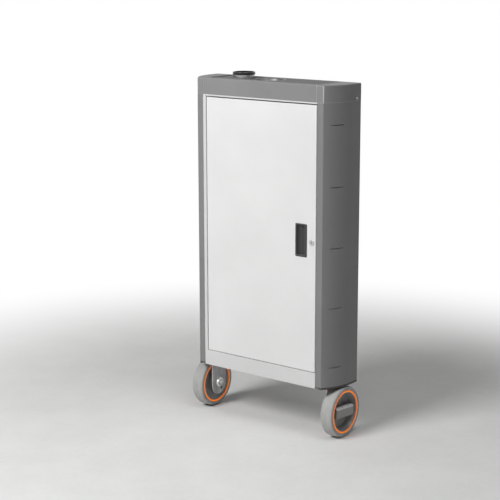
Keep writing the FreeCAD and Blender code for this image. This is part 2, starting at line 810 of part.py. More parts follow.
def cap_screw():
    z = cap_bottom + cap_screw_rise
    x = cap_screw_seat
    head = rod(cap_screw_radius, cap_wall * 0.6, (x, cap_screw_y, z), (1, 0, 0))
    head = chamfer(head, cap_screw_radius / 4, lambda e: at(e, x=x + cap_wall * 0.6))
    shank = rod(cap_screw_radius / 2 - weld_gap, cap_screw_shank, (x - cap_screw_shank, cap_screw_y, z),
                (1, 0, 0))
    arm, half = cap_screw_cross, cap_screw_cross_width / 2
    cross = [box(x + cap_wall * 0.2, x + cap_wall, cap_screw_y - a, cap_screw_y + a, z - b, z + b)
             for a, b in ((arm, half), (half, arm))]
    return join(head, shank).cut(cross)


def cap_front():
    x = cap_seam_x - cap_seam_gap / 2
    wall = box(-x, x, 0, cap_wall, cap_bottom, cap_top)
    top = box(-x, x, 0, cap_front_depth, cap_top - cap_wall, cap_top)
    foot = box(-x, x, 0, cap_front_depth, cap_bottom, cap_bottom + cap_wall * 0.7)
    return fillet(join(wall, top, foot), cap_edge_radius, lambda e: at(e, x=0, y=0, z=cap_top))


def cap_tray():
    x = cap_seam_x - cap_seam_gap / 2
    front = tray_front
    block = box(-x, x, front, depth, cap_bottom, cap_top)
    hollow = box(-x + cap_wall, x - cap_wall, front + cap_wall, depth - cap_wall, cap_bottom - past,
                 tray_floor - cap_wall)
    recess = box(-x + tray_rim, x - tray_rim, front + tray_rim, depth - tray_rim, tray_floor, cap_top + past)
    recess = fillet(recess, tray_corner, vertical)
    collar_low = tray_floor - cap_wall
    collar_radius = cup_radius + seat_gap + collar_wall
    collar = rod(collar_radius, cap_wall + collar_height, (cup_x, tray_middle, collar_low), (0, 0, 1))
    tray = join(block.cut(hollow).cut(recess), collar)
    holes = [(cup_x, cup_radius + seat_gap, cap_bottom),
             (dish_x, dish_radius - dish_flange + dish_clearance, cap_bottom),
             (dish_x, dish_radius + seat_gap, tray_floor - dish_seat)]
    tray = tray.cut([rod(radius, cap_height + collar_height, (hole_x, tray_middle, low), (0, 0, 1))
                     for hole_x, radius, low in holes])
    past_cup = cup_x - cup_radius - tray_rib_gap - cap_wall
    past_dish = dish_x + dish_radius + tray_rib_gap
    ribs = [box(rib, rib + cap_wall, front + cap_wall, depth - cap_wall, cap_bottom + tray_rib_rise,
                tray_floor - cap_wall) for rib in (past_cup, past_dish, (past_dish + x) / 2)]
    return join(tray, *ribs)


def can_cup():
    top = tray_floor + cup_proud
    r, t, low = cup_radius, cup_wall, cap_bottom
    bead = cup_bead
    c = cup_corner
    profile = [(0, low), (r - c, low), (r, low + c), (r, top - bead), (r - t, top), (r - t, low + c + t),
               (r - c - t, low + t), (0, low + t)]
    return turned(profile, cup_x, tray_middle)


def can_rim():
    top = tray_floor + cup_proud
    r = cup_radius
    t, h, s = cup_rim_thickness, cup_rim_height, cup_rim_skirt
    bead = cup_bead
    outer = r + t
    inner = r - cup_wall
    side, shoulder = top + h * 0.4, top + h * 0.85
    profile = [(r + weld_gap, top - s), (outer, top - s), (outer, side), (outer - t / 2, shoulder),
               (r - cup_wall / 2, top + h), (inner + t / 3, shoulder), (inner, side), (inner, top),
               (r, top - bead), (r + weld_gap, top - bead)]
    return turned(profile, cup_x, tray_middle)


def parts_dish():
    r, t = dish_radius, dish_sheet
    rim_low = tray_floor - dish_seat
    rim_top = rim_low + t
    bowl = r - dish_flange
    inside, under = [(r, rim_top)], [(r, rim_low)]
    for i in range(dish_steps + 1):
        angle = math.radians(90.0 * i / dish_steps)
        reach = bowl - (bowl - dish_floor_radius) * (1 - math.cos(angle))
        drop = dish_depth * math.sin(angle)
        inside.append((reach, rim_top - drop))
        under.append((reach - t, rim_low - drop))
    middle = [(0, rim_top - dish_depth), (0, rim_low - dish_depth)]
    return turned(inside + middle + under[::-1], dish_x, tray_middle)


# ---- wheels ----
def tyre(x):
    r, w, s = wheel_radius, wheel_width, tread_shoulder
    edge = r - tread_crown - s
    profile = [(rim_radius, ring_thickness), (ring_outer_radius, ring_thickness),
               (ring_outer_radius, tyre_lip), (ring_outer_radius + tyre_lip, 0)]
    for i in range(tread_steps + 1):
        angle = math.radians(90.0 * i / tread_steps)
        profile.append((edge + s * math.sin(angle), tread_shoulder_width * (1 - math.cos(angle))))
    for share in (0.5, 1.0):
        inset = tread_shoulder_width + (w / 2 - tread_shoulder_width) * share
        profile.append((r - tread_crown * (1 - share) ** 2, inset))
    half = [(radius, w - inset) for radius, inset in profile[:-1]]
    return spun(profile + half[::-1], x, wheel_y, wheel_radius)


def accent_ring(x, inset):
    middle = (ring_outer_radius + ring_inner_radius) / 2
    low, high = inset, inset + ring_thickness
    crown = low if inset < wheel_width / 2 else high
    inward = ring_crown if inset < wheel_width / 2 else -ring_crown
    back = high if inset < wheel_width / 2 else low
    profile = [(ring_inner_radius, back), (ring_outer_radius, back), (ring_outer_radius, crown + inward),
               (middle + ring_flat, crown), (middle - ring_flat, crown), (ring_inner_radius, crown + inward)]
    return spun(profile, x, wheel_y, wheel_radius)


def rim(x):
    w, e, b, f, g = wheel_width, rim_edge_inset, rim_edge_break, rim_blend, boss_blend
    web = rim_web_inset + rim_web_thickness
    profile = [(rim_radius, ring_thickness), (ring_inner_radius, ring_thickness), (ring_inner_radius, e),
               (rim_edge_radius + b, e), (rim_edge_radius, e + b), (rim_web_radius + f, rim_web_inset - f),
               (rim_web_radius - f, rim_web_inset), (boss_radius + g, rim_web_inset),
               (boss_radius, rim_web_inset - g), (boss_radius, boss_inset), (bearing_radius, boss_inset),
               (bearing_radius, bearing_rear), (boss_radius, bearing_rear), (boss_radius, web + g),
               (boss_radius + g, web), (rim_web_radius, web), (rim_edge_radius - f, w - e - 2 * f),
               (rim_edge_radius, w - e - b), (rim_edge_radius + b, w - e), (ring_inner_radius, w - e),
               (ring_inner_radius, w - ring_thickness), (rim_radius, w - ring_thickness)]
    return spun(profile, x, wheel_y, wheel_radius)


def bearing_outer(x, inset):
    r, w, s = bearing_radius, bearing_width, bearing_shield
    race = r - bearing_race
    lip = axle_radius + bearing_race + seat_gap
    profile = [(r, inset), (lip, inset), (lip, inset + s), (race, inset + s), (race, inset + w - s),
               (lip, inset + w - s), (lip, inset + w), (r, inset + w)]
    return spun(profile, x, wheel_y, wheel_radius)


def bearing_inner(x, inset):
    r0, r1 = axle_radius + weld_gap, axle_radius + bearing_race
    profile = [(r0, inset), (r1, inset), (r1, inset + bearing_width), (r0, inset + bearing_width)]
    return spun(profile, x, wheel_y, wheel_radius)


def axle_spacer(x):
    r0, r1 = axle_radius + weld_gap, spacer_radius
    profile = [(r0, bearing_rear), (r1, bearing_rear), (r1, leg_inset), (r0, leg_inset)]
    return spun(profile, x, wheel_y, wheel_radius)


def axle_bolt(x):
    r, h, b = axle_head_radius, axle_head_height, axle_tip_break
    seat = leg_inset + bracket_thickness
    tip = rocker_pin_inset + rocker_pin_radius + axle_tip_clear
    profile = [(0, tip), (axle_radius - b, tip), (axle_radius, tip + b), (axle_radius, seat), (r, seat)]
    for angle in (0, 45, 90):
        turn = math.radians(angle)
        profile.append((axle_head_face + (r - axle_head_face) * math.cos(turn),
                        seat + axle_head_edge + (h - axle_head_edge) * math.sin(turn)))
    socket_floor = seat + h - axle_socket_depth
    profile += [(axle_socket_radius, seat + h), (axle_socket_radius, socket_floor), (0, socket_floor)]
    return spun(profile, x, wheel_y, wheel_radius)


def caster_bolt_places():
    leg = half_width - leg_inset
    return [(leg - reach, wheel_y + side * caster_bolt_side)
            for reach in (caster_bolt_near, caster_bolt_far) for side in (-1, 1)]


def caster_bracket():
    x1 = half_width - leg_inset
    x0 = x1 - bracket_thickness
    half = bracket_width / 2
    end_z = wheel_radius - bracket_drop
    leg = join(box(x0, x1, wheel_y - half, wheel_y + half, end_z, base_plate_bottom),
               rod(half, bracket_thickness, (x0, wheel_y, end_z), (1, 0, 0)))
    flange = box(x1 - bracket_flange - bracket_thickness, x1, wheel_y - half, wheel_y + half,
                 base_plate_bottom - bracket_flange_thickness, base_plate_bottom)
    bracket = join(leg, flange)
    flange_low = base_plate_bottom - bracket_flange_thickness
    bracket = fillet(bracket, bracket_bend_radius, lambda e: at(e, x=x0, y=wheel_y, z=flange_low))
    bracket = fillet(bracket, bracket_thickness * 0.9, lambda e: at(e, x=x1, y=wheel_y, z=base_plate_bottom))
    far = x1 - bracket_flange - bracket_thickness
    bracket = fillet(bracket, bracket_corner, lambda e: vertical(e) and abs(e.BoundBox.Center.x - far) < 0.01)
    holes = [rod(axle_radius + weld_gap, bracket_thickness + 2 * past,
                 (x0 - past, wheel_y, wheel_radius), (1, 0, 0)),
             rod(locating_screw_radius + locating_collar, bracket_thickness + 2 * past,
                 (x0 - past, wheel_y + locating_screw_y, wheel_radius - locating_screw_drop), (1, 0, 0))]
    holes += [rod(caster_bolt_radius + weld_gap, bracket_flange_thickness + 2 * past,
                  (x, y, flange_low - past), (0, 0, 1))
              for x, y in caster_bolt_places()]
    return bracket.cut(holes)


def locating_screw():
    x1 = half_width - leg_inset
    x0 = x1 - bracket_thickness
    y, z = wheel_y + locating_screw_y, wheel_radius - locating_screw_drop
    collar = rod(locating_screw_radius + locating_collar - weld_gap,
                 bracket_thickness - locating_collar_inset, (x0 + locating_collar_inset, y, z), (1, 0, 0))
    head = rod(locating_screw_radius, bracket_thickness - locating_screw_inset,
               (x0 + locating_screw_inset, y, z), (1, 0, 0))
    socket = rod(locating_socket_radius, locating_socket_depth, (x0, y, z), (1, 0, 0))
    return join(collar, head).cut(socket)


def caster_bolts():
    bolts = []
    for x, y in caster_bolt_places():
        low = base_plate_bottom - bracket_flange_thickness
        head_low = low - caster_bolt_head_height
        head = rod(caster_bolt_head, caster_bolt_head_height, (x, y, head_low), (0, 0, 1))
        head = chamfer(head, caster_bolt_head_height / 3, lambda e: at(e, z=head_low))
        length = bracket_flange_thickness + base_plate_thickness + caster_bolt_spare
        shank = rod(caster_bolt_radius, length, (x, y, low), (0, 0, 1))
        bolts.append(join(head, shank))
    return bolts


def caster_nuts():
    nuts = []
    for x, y in caster_bolt_places():
        start = Vec(x, y, base_plate_top)
        corners = [start + Vec(math.cos(math.radians(60 * i)), math.sin(math.radians(60 * i)), 0)
                   * caster_bolt_head for i in range(6)]
        nut = Part.Face(Part.makePolygon(corners + corners[:1])).extrude(Vec(0, 0, caster_nut_height))
        bore = rod(caster_bolt_radius + weld_gap, caster_nut_height + 2 * past,
                   (x, y, base_plate_top - past), (0, 0, 1))
        nuts.append(nut.cut(bore))
    return nuts


# ---- brake rocker ----
def rocker_frame(shape):
    """Turns a brake part about the axle, so that its rear end hangs lower."""
    shape.rotate(Vec(0, wheel_y, wheel_radius), Vec(1, 0, 0), -rocker_tilt)
    return shape


def raked_block(x0, x1, half_front, half_rear, z0, z1, corner):
    """A block that narrows from x1 back to x0, with its four long corners rounded."""
    face = flat_face([(x1, wheel_y - half_front, z0), (x1, wheel_y + half_front, z0),
                      (x0, wheel_y + half_rear, z0), (x0, wheel_y - half_rear, z0)])
    block = face.extrude(Vec(0, 0, z1 - z0))
    return fillet(block, corner, lambda e: e.BoundBox.XLength > (x1 - x0) / 2)


def brake_rocker():
    x1 = half_width
    x0 = x1 - rocker_depth
    half, w = rocker_length / 2, rocker_wall
    slope = rocker_rake / rocker_depth
    z0, z1 = wheel_radius - rocker_height / 2, wheel_radius + rocker_height / 2
    body = raked_block(x0, x1, half, half - rocker_rake, z0, z1, rocker_corner)
    body = chamfer(body, rocker_edge, lambda e: abs(e.BoundBox.XMin - x1) < 0.01)
    cavity = raked_block(x0 - past, x1 - w, half - w - slope * w, half - w - rocker_rake - slope * past,
                         z0 + w, z1 - w, rocker_corner - w)
    body = body.cut(cavity)
    ribs = []
    for side in (-1, 1):
        near = wheel_y + side * rocker_rib_gap
        far = near + side * rocker_rib
        ribs.append(box(x0 + rocker_rib_inset, x1 - w / 2, min(near, far), max(near, far),
                        z0 + w / 2, z1 - w / 2))
    body = join(body, *ribs)
    length = 2 * (rocker_rib_gap + rocker_rib)
    start = (x1 - rocker_pin_inset, wheel_y - length / 2, wheel_radius)
    hole = rod(rocker_pin_radius + weld_gap, length, start, (0, 1, 0))
    return rocker_frame(body.cut(hole))


def rocker_pin():
    length = 2 * (rocker_rib_gap + rocker_rib)
    pin = rod(rocker_pin_radius, length, (half_width - rocker_pin_inset, wheel_y - length / 2, wheel_radius),
              (0, 1, 0))
    return rocker_frame(pin)


def rocker_carrier():
    x1 = half_width - carrier_front
    x0 = half_width - boss_inset + carrier_neck
    half = rocker_rib_gap - seat_gap
    block = box(x0, x1, wheel_y - half, wheel_y + half, wheel_radius - carrier_height / 2,
                wheel_radius + carrier_height / 2)
    neck = rod(spacer_radius, carrier_neck, (x0 - carrier_neck, wheel_y, wheel_radius), (1, 0, 0))
    bore_end = half_width - rocker_pin_inset - rocker_pin_radius - axle_tip_clear + 2 * fit_gap
    bore_start = x0 - carrier_neck - past
    bore = rod(axle_radius + weld_gap, bore_end - bore_start, (bore_start, wheel_y, wheel_radius), (1, 0, 0))
    cross_start = (half_width - rocker_pin_inset, wheel_y - half - past, wheel_radius)
    cross = rod(rocker_pin_radius + fit_gap, 2 * half + 2 * past, cross_start, (0, 1, 0))
    return rocker_frame(join(block, neck).cut(bore).cut(cross))


# ---- write every node ----
os.makedirs("parts", exist_ok=True)

save("back_panel", back_panel())
save("side_panel_left", mirrored(side_panel()))
save("side_panel_right", side_panel().cut(cam_slot()))
save("top_panel", top_panel())
save("floor_panel", floor_panel())
save("base_plate", base_plate())
save("base_rail", base_rail())
save("hinge_stile", hinge_stile())
save("lock_stile", lock_stile())

save("door_panel", door_panel())
save("door_stiffener", door_stiffener())
save("handle_cup", handle_cup())
save("lock_housing", lock_housing())
save("lock_nut", lock_nut())
save("lock_plug", lock_plug())
save("lock_cam", lock_cam())
save("cam_screw", cam_screw())
save("catch_magnet", catch_magnet())
save("catch_plate", catch_plate())
save("door_buffers", *buffers())

upper_arm = 2 * sheet
lower_bush = door_bottom + door_sheet
upper_bush = door_top - door_sheet - pivot_bush_length
save("pivot_arms", pivot_arm(cap_bottom - sheet - upper_arm, upper_arm), pivot_arm(rail_top, sheet))
save("pivot_pins", pivot_pin(upper_bush, cap_bottom - sheet),
     pivot_pin(rail_top, lower_bush + pivot_bush_length))
save("pivot_bushes", pivot_bush(upper_bush), pivot_bush(lower_bush))

for name, level in zip(shelf_names, shelf_levels):
    save("shelf_" + name, shelf(level))
save("shelf_rails", *shelf_rails())
save("shelf_clips", *[clip for level in shelf_levels for clip in shelf_clips(level)])

save("cap_front", cap_front())
save("cap_tray", cap_tray())
save("can_cup", can_cup())
save("can_rim", can_rim())
save("parts_dish", parts_dish())

for side, place in (("right", lambda shape: shape), ("left", mirrored)):
    save("corner_post_" + side, place(corner_post()))
    save("cap_corner_" + side, place(cap_corner()))
    save("tyre_" + side, place(tyre(half_width)))
    save("rim_" + side, place(rim(half_width)))
    save("accent_rings_" + side, place(accent_ring(half_width, 0)),
         place(accent_ring(half_width, wheel_width - ring_thickness)))
    save("bearing_shells_" + side, *[place(bearing_outer(half_width, boss_inset + i * bearing_width))
                                     for i in range(2)])
    save("caster_bracket_" + side, place(caster_bracket()))
    save("brake_rocker_" + side, place(brake_rocker()))
    save("rocker_pin_" + side, place(rocker_pin()))
save("post_feet", *both(post_foot()))
save("bearing_cores", *[core for i in range(2)
                        for core in both(bearing_inner(half_width, boss_inset + i * bearing_width))])
save("axle_bolts", *both(axle_bolt(half_width)))
save("axle_spacers", *both(axle_spacer(half_width)))
save("rocker_carriers", *both(rocker_carrier()))
save("locating_screws", *both(locating_screw()))
save("cap_screws", *both(cap_screw()))
save("caster_fasteners", *[one for piece in caster_bolts() + caster_nuts() for one in both(piece)])

print(len(made), "nodes,", sum(count for _, count in made), "solids")
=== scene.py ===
import json
import math

import bmesh
import bpy
from mathutils import Matrix, Vector


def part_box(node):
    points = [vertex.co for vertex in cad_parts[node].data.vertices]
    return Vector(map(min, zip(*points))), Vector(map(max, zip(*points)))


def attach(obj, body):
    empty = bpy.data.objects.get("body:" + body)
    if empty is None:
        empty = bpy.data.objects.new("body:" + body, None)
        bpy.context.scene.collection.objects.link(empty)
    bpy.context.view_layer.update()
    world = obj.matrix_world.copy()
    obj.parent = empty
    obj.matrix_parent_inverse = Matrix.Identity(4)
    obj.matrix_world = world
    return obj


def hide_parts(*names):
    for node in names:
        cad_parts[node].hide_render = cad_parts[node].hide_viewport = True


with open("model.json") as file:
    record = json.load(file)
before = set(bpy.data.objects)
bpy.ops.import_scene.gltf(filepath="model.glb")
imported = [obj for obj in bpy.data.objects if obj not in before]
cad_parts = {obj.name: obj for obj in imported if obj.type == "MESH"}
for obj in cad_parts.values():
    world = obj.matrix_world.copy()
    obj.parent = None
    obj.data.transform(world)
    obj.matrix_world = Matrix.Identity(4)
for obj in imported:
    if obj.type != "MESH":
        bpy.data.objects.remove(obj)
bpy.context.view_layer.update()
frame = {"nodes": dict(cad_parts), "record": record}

mm = 0.001
close = 0.05 * mm  # nearer than this counts as the same place
onCut = 0.001 * mm  # nearer than this to a cutting plane counts as on it
nodes = frame["nodes"]
members = frame["record"]["behaviour"]["bodies"]
bodyOf = {node: body for body, held in members.items() for node in held}
slotOf = {node: nodes[node].material_slots[0].material.name for node in nodes}
softStep = (0.3, 0.7)  # the stretch of a noise that a blend runs over


# shader values that take Python arithmetic
class Value:
    def __init__(self, paint, socket):
        self.paint, self.socket = paint, socket

    def maths(self, operation, *values):
        return self.paint.node("ShaderNodeMath", {"operation": operation}, dict(enumerate(values)))

    def __add__(self, other):
        return self.maths("ADD", self, other)

    def __sub__(self, other):
        return self.maths("SUBTRACT", self, other)

    def __rsub__(self, other):
        return self.maths("SUBTRACT", other, self)

    def __mul__(self, other):
        return self.maths("MULTIPLY", self, other)

    def __truediv__(self, other):
        return self.maths("DIVIDE", self, other)

    def __pow__(self, other):
        return self.maths("POWER", self, other)

    __radd__ = __add__
    __rmul__ = __mul__

    def step(self, low, high):
        return self.paint.node("ShaderNodeMapRange", {"interpolation_type": "SMOOTHSTEP", "clamp": True},
                               {"Value": self, "From Min": low, "From Max": high})

    def swing(self, size):
        # a noise as so much above and below its middle
        return (self - 0.5) * size


class Paint:
    # one material: a Principled shader and the nodes that feed it
    def __init__(self, name, **constants):
        self.material = bpy.data.materials.new(name)
        self.material.use_nodes = True
        self.tree = self.material.node_tree
        self.shader = self.tree.nodes["Principled BSDF"]
        for socket, value in constants.items():
            self.feed(socket.replace("_", " "), value)

    def feed(self, socket, value):
        self.connect(self.shader.inputs[socket], value)

    def connect(self, target, value):
        if isinstance(value, Value):
            self.tree.links.new(value.socket, target)
        else:
            target.default_value = value

    def node(self, kind, settings=None, sockets=None, output=0):
        made = self.tree.nodes.new(kind)
        for name, value in (settings or {}).items():
            setattr(made, name, value)
        for name, value in (sockets or {}).items():
            self.connect(made.inputs[name], value)
        return Value(self, made.outputs[output])

    def place(self, middle=(0, 0, 0), scale=(1, 1, 1)):
        where = self.node("ShaderNodeTexCoord", output="Object")
        shift = [-centre * size for centre, size in zip(middle, scale)]
        return self.node("ShaderNodeMapping", {}, {"Vector": where, "Location": shift, "Scale": scale})

    def noise(self, where, scale, detail=2.0, roughness=0.5, distortion=0.0):
        return self.node("ShaderNodeTexNoise", {"noise_dimensions": "3D"},
                         {"Vector": where, "Scale": scale, "Detail": detail, "Roughness": roughness,
                          "Distortion": distortion})

    def axes(self, where):
        return [self.node("ShaderNodeSeparateXYZ", {}, {"Vector": where}, output=axis) for axis in range(3)]

    def marked(self, name):
        return self.node("ShaderNodeAttribute", {"attribute_name": name}, output="Fac")

    def mix(self, factor, first, second):
        return self.node("ShaderNodeMix", {"data_type": "RGBA"},
                         {"Factor": factor, 6: rgb(first), 7: rgb(second)}, output=2)

    def mottled(self, noise, shade, contrast, step=softStep):
        # a shade that drifts a little darker and paler
        return self.mix(noise.step(*step), shaded(shade, 1 - contrast), shaded(shade, 1 + contrast))

    def bump(self, height, distance, strength, under=None):
        sockets = {"Height": height, "Distance": distance, "Strength": strength}
        if under is not None:
            sockets["Normal"] = under
        return self.node("ShaderNodeBump", {}, sockets)


def rgb(shade):
    # a written 0-255 colour as the linear colour that shows as it
    if isinstance(shade, Value):
        return shade
    return [((channel / 255 + 0.055) / 1.055) ** 2.4 if channel > 10 else channel / 255 / 12.92
            for channel in shade] + [1.0]


def shaded(shade, share):
    return [min(255, channel * share) for channel in shade]


print("helpers ready")

# dust is the near-black colour of the painted shadow in the gap above the door, which also stands for dust
powderLook = {"grain": 1500, "peel": 260, "wave": 7, "rub": 60, "mottle": 5.0, "contrast": 0.012,
              "worn": 0.7, "dust": (30, 30, 29), "dustAndShadeLeast": 0.8, "dustAndShadeMore": 0.2, "peelRough": 0.08,
              "grainRough": 0.05, "peelShare": 0.8, "grainShare": 0.35, "height": 0.03 * mm, "strength": 0.5,
              "waveHeight": 0.5 * mm, "waveStrength": 0.6}


def powderCoat(name, shade, edgeShade, roughness=0.42, specular=0.4):
    # sprayed and baked powder: sheet that isn't quite flat, orange peel, a thinner coat along the edges,
    # and on the door's top under the gap a dark painted shadow, which also stands for workshop dust lying
    # there
    look = powderLook
    paint = Paint(name, Specular_IOR_Level=specular)
    where = paint.place()
    mottle = paint.noise(where, look["mottle"], detail=3.0)
    peel = paint.noise(where, look["peel"])
    grain = paint.noise(where, look["grain"], detail=1.0)
    wave = paint.noise(where, look["wave"], detail=1.0)
    rub = paint.marked("edge") * paint.noise(where, look["rub"], detail=3.0).step(*softStep)
    worn = paint.mix(rub * look["worn"], paint.mottled(mottle, shade, look["contrast"]), edgeShade)
    # painted shadow: the door's top under the gap is darkened almost to black, also standing for dust lying
    # there
    dust = paint.marked("dust") * (look["dustAndShadeLeast"] + mottle * look["dustAndShadeMore"])
    paint.feed("Base Color", paint.mix(dust, worn, look["dust"]))
    paint.feed("Roughness", roughness + peel.swing(look["peelRough"]) + grain * look["grainRough"])
    sheet = paint.bump(wave, look["waveHeight"], look["waveStrength"])
    skin = peel * look["peelShare"] + grain * look["grainShare"]
    paint.feed("Normal", paint.bump(skin, look["height"], look["strength"], sheet))
    return paint.material


mouldLook = {"grain": 900, "cell": 420, "mottle": 8.0, "contrast": 0.02, "edgeWearAndHighlightShare": 0.6, "rough": 0.1,
             "grainShare": 0.6, "cellShare": 0.4, "height": 0.05 * mm, "strength": 0.45}


def mouldedPlastic(name, shade, roughness=0.5, edge=1.12, specular=0.35):
    # injection-moulded plastic with a spark-eroded skin, a little paler along its edges from wear, and much
    # paler where the edges carry painted highlights
    look = mouldLook
    paint = Paint(name, Specular_IOR_Level=specular)
    where = paint.place()
    mottle = paint.noise(where, look["mottle"], detail=3.0)
    grain = paint.noise(where, look["grain"], roughness=0.6)
    cells = paint.node("ShaderNodeTexVoronoi", {"feature": "F1"}, {"Vector": where, "Scale": look["cell"]})
    base = paint.mottled(mottle, shade, look["contrast"])
    worn = paint.marked("edge") * look["edgeWearAndHighlightShare"]
    paint.feed("Base Color", paint.mix(worn, base, shaded(shade, edge)))
    paint.feed("Roughness", roughness + mottle.swing(look["rough"]) + grain.swing(look["rough"]))
    skin = grain * look["grainShare"] + cells * look["cellShare"]
    paint.feed("Normal", paint.bump(skin, look["height"], look["strength"]))
    return paint.material


plateLook = {"cloud": 34, "cloudStep": (0.35, 0.65), "fine": 620, "scuff": 900, "scuffRun": 0.08,
             "torn": 0.8, "tornShade": 1.15, "tornDull": 0.7, "tornRough": 0.15, "cloudRough": 0.2,
             "scuffRough": 0.12, "fineShare": 0.5, "scuffShare": 0.5, "height": 0.03 * mm,
             "strength": 0.4}


def platedSteel(name, shade, roughness=0.34, spangle=0.06):
    # zinc plate: a cloudy passivate over rolled steel, with faint scuffs and bright torn edges
    look = plateLook
    paint = Paint(name)
    where = paint.place()
    cloud = paint.noise(where, look["cloud"], detail=4.0, roughness=0.55, distortion=0.6)
    fine = paint.noise(where, look["fine"])
    scuff = paint.noise(paint.place(scale=(1, 1, look["scuffRun"])), look["scuff"], roughness=0.6)
    torn = paint.marked("edge")
    plate = paint.mix(cloud.step(*look["cloudStep"]), shaded(shade, 1 - 2 * spangle), shade)
    paint.feed("Base Color", paint.mix(torn * look["torn"], plate, shaded(shade, look["tornShade"])))
    paint.feed("Metallic", 1.0 - torn * look["tornDull"])
    paint.feed("Roughness", roughness + cloud.swing(look["cloudRough"]) + scuff.swing(look["scuffRough"])
               + torn * look["tornRough"])
    skin = fine * look["fineShare"] + scuff * look["scuffShare"]
    paint.feed("Normal", paint.bump(skin, look["height"], look["strength"]))
    return paint.material


spunLook = {"pitch": 0.6 * mm, "cloud": 40, "dark": 0.94, "ringRough": 0.18, "cloudRough": 0.08,
            "height": 0.02 * mm, "strength": 0.5}


def turnedSteel(name, middle, shade, roughness=0.2):
    # spun stainless steel: fine rings about an upright axis
    look = spunLook
    paint = Paint(name, Metallic=1.0)
    where = paint.place(middle)
    x, y, z = paint.axes(where)
    radius = (x * x + y * y) ** 0.5
    ringsPerMetre = 1 / look["pitch"]
    ringsAt = paint.node("ShaderNodeCombineXYZ", {}, {"X": radius * ringsPerMetre, "Y": z * ringsPerMetre})
    rings = paint.noise(ringsAt, 1.0, roughness=0.6)
    cloud = paint.noise(where, look["cloud"], detail=3.0)
    paint.feed("Base Color", paint.mix(cloud.step(*softStep), shaded(shade, look["dark"]), shade))
    paint.feed("Roughness", roughness + rings.swing(look["ringRough"]) + cloud.swing(look["cloudRough"]))
    paint.feed("Normal", paint.bump(rings, look["height"], look["strength"]))
    return paint.material


rubberLook = {"cloud": 25, "fine": 1100, "contrast": 0.1, "cloudRough": 0.15, "specular": 0.4,
              "height": 0.04 * mm, "strength": 0.4}


def rubber(name, shade, roughness=0.5):
    look = rubberLook
    paint = Paint(name, Specular_IOR_Level=look["specular"])
    where = paint.place()
    cloud = paint.noise(where, look["cloud"], detail=3.0)
    fine = paint.noise(where, look["fine"])
    paint.feed("Base Color", paint.mottled(cloud, shade, look["contrast"]))
    paint.feed("Roughness", roughness + cloud.swing(look["cloudRough"]))
    paint.feed("Normal", paint.bump(fine, look["height"], look["strength"]))
    return paint.material


tyreLow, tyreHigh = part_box("tyre_right")
axle = (tyreLow + tyreHigh) / 2
wheelRadius = (tyreHigh.z - tyreLow.z) / 2
wheelWidth = tyreHigh.x - tyreLow.x
wheelFace = tyreHigh.x
tyreLook = {"tread": (170, 170, 169), "side": (166, 166, 165), "dust": (182, 182, 180),
            "scuff": (136, 136, 135), "from": 0.93, "to": 0.985, "across": 300, "around": 1.5, "inwards": 20,
            "cloud": 45, "cloudStep": (0.3, 0.75), "contrast": 0.05, "streakStep": (0.35, 0.7), "fleck": 190,
            "fleckStep": (0.6, 0.72), "fleckTint": 0.7, "fine": 900, "roughness": 0.55, "treadRough": 0.12,
            "cloudRough": 0.15, "specular": 0.25, "fineShare": 0.5, "streakShare": 0.3, "fleckShare": 0.2,
            "height": 0.08 * mm, "strength": 0.5}


def tyreRubber(name):
    # grey cast rubber: dusty along the tread, with scuffs and fine marks round it
    look = tyreLook
    paint = Paint(name, Specular_IOR_Level=look["specular"])
    where = paint.place((0, axle.y, axle.z))
    x, y, z = paint.axes(where)
    radius = (y * y + z * z) ** 0.5 / wheelRadius
    tread = radius.step(look["from"], look["to"])
    around = paint.node("ShaderNodeMath", {"operation": "ARCTAN2"}, {0: y, 1: z})
    bandAt = paint.node("ShaderNodeCombineXYZ", {}, {"X": x * look["across"], "Y": around * look["around"],
                                                     "Z": radius * look["inwards"]})
    streak = paint.noise(bandAt, 1.0, detail=3.0, roughness=0.55)
    cloud = paint.noise(where, look["cloud"], detail=4.0, roughness=0.6)
    fleck = paint.noise(where, look["fleck"], detail=3.0, roughness=0.6)
    fine = paint.noise(where, look["fine"])
    side = paint.mottled(cloud, look["side"], look["contrast"], look["cloudStep"])
    dusty = paint.mix(streak.step(*look["streakStep"]), look["tread"], look["dust"])
    top = paint.mix(fleck.step(*look["fleckStep"]) * look["fleckTint"], dusty, look["scuff"])
    paint.feed("Base Color", paint.mix(tread, side, top))
    paint.feed("Roughness", look["roughness"] + tread * look["treadRough"] + cloud.swing(look["cloudRough"]))
    skin = fine * look["fineShare"] + streak * look["streakShare"] + fleck * look["fleckShare"]
    paint.feed("Normal", paint.bump(skin, look["height"], look["strength"]))
    return paint.material


ringLook = {"shade": (255, 138, 8), "shadeDark": 0.97, "glow": (255, 120, 2), "glowDark": 0.94,
            "strength": 0.6, "specular": 0.15, "cloud": 30, "grain": 800, "roughness": 0.34,
            "cloudRough": 0.1, "height": 0.03 * mm, "bump": 0.3}


def signalOrange(name):
    # painted light: the ring glows with a fixed emission, so it stays bright orange where little light
    # reaches it
    look = ringLook
    paint = Paint(name, Specular_IOR_Level=look["specular"], Emission_Strength=look["strength"])
    where = paint.place((0, axle.y, axle.z))
    cloud = paint.noise(where, look["cloud"], detail=3.0)
    grain = paint.noise(where, look["grain"])
    for socket, colour in (("Base Color", "shade"), ("Emission Color", "glow")):
        dark = shaded(look[colour], look[colour + "Dark"])
        paint.feed(socket, paint.mix(cloud.step(*softStep), dark, look[colour]))
    paint.feed("Roughness", look["roughness"] + cloud.swing(look["cloudRough"]))
    paint.feed("Normal", paint.bump(grain, look["height"], look["bump"]))
    return paint.material


cupLow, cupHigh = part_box("can_cup")
dishLow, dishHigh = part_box("parts_dish")
cupMiddle = (cupLow + cupHigh) / 2
dishMiddle = (dishLow + dishHigh) / 2

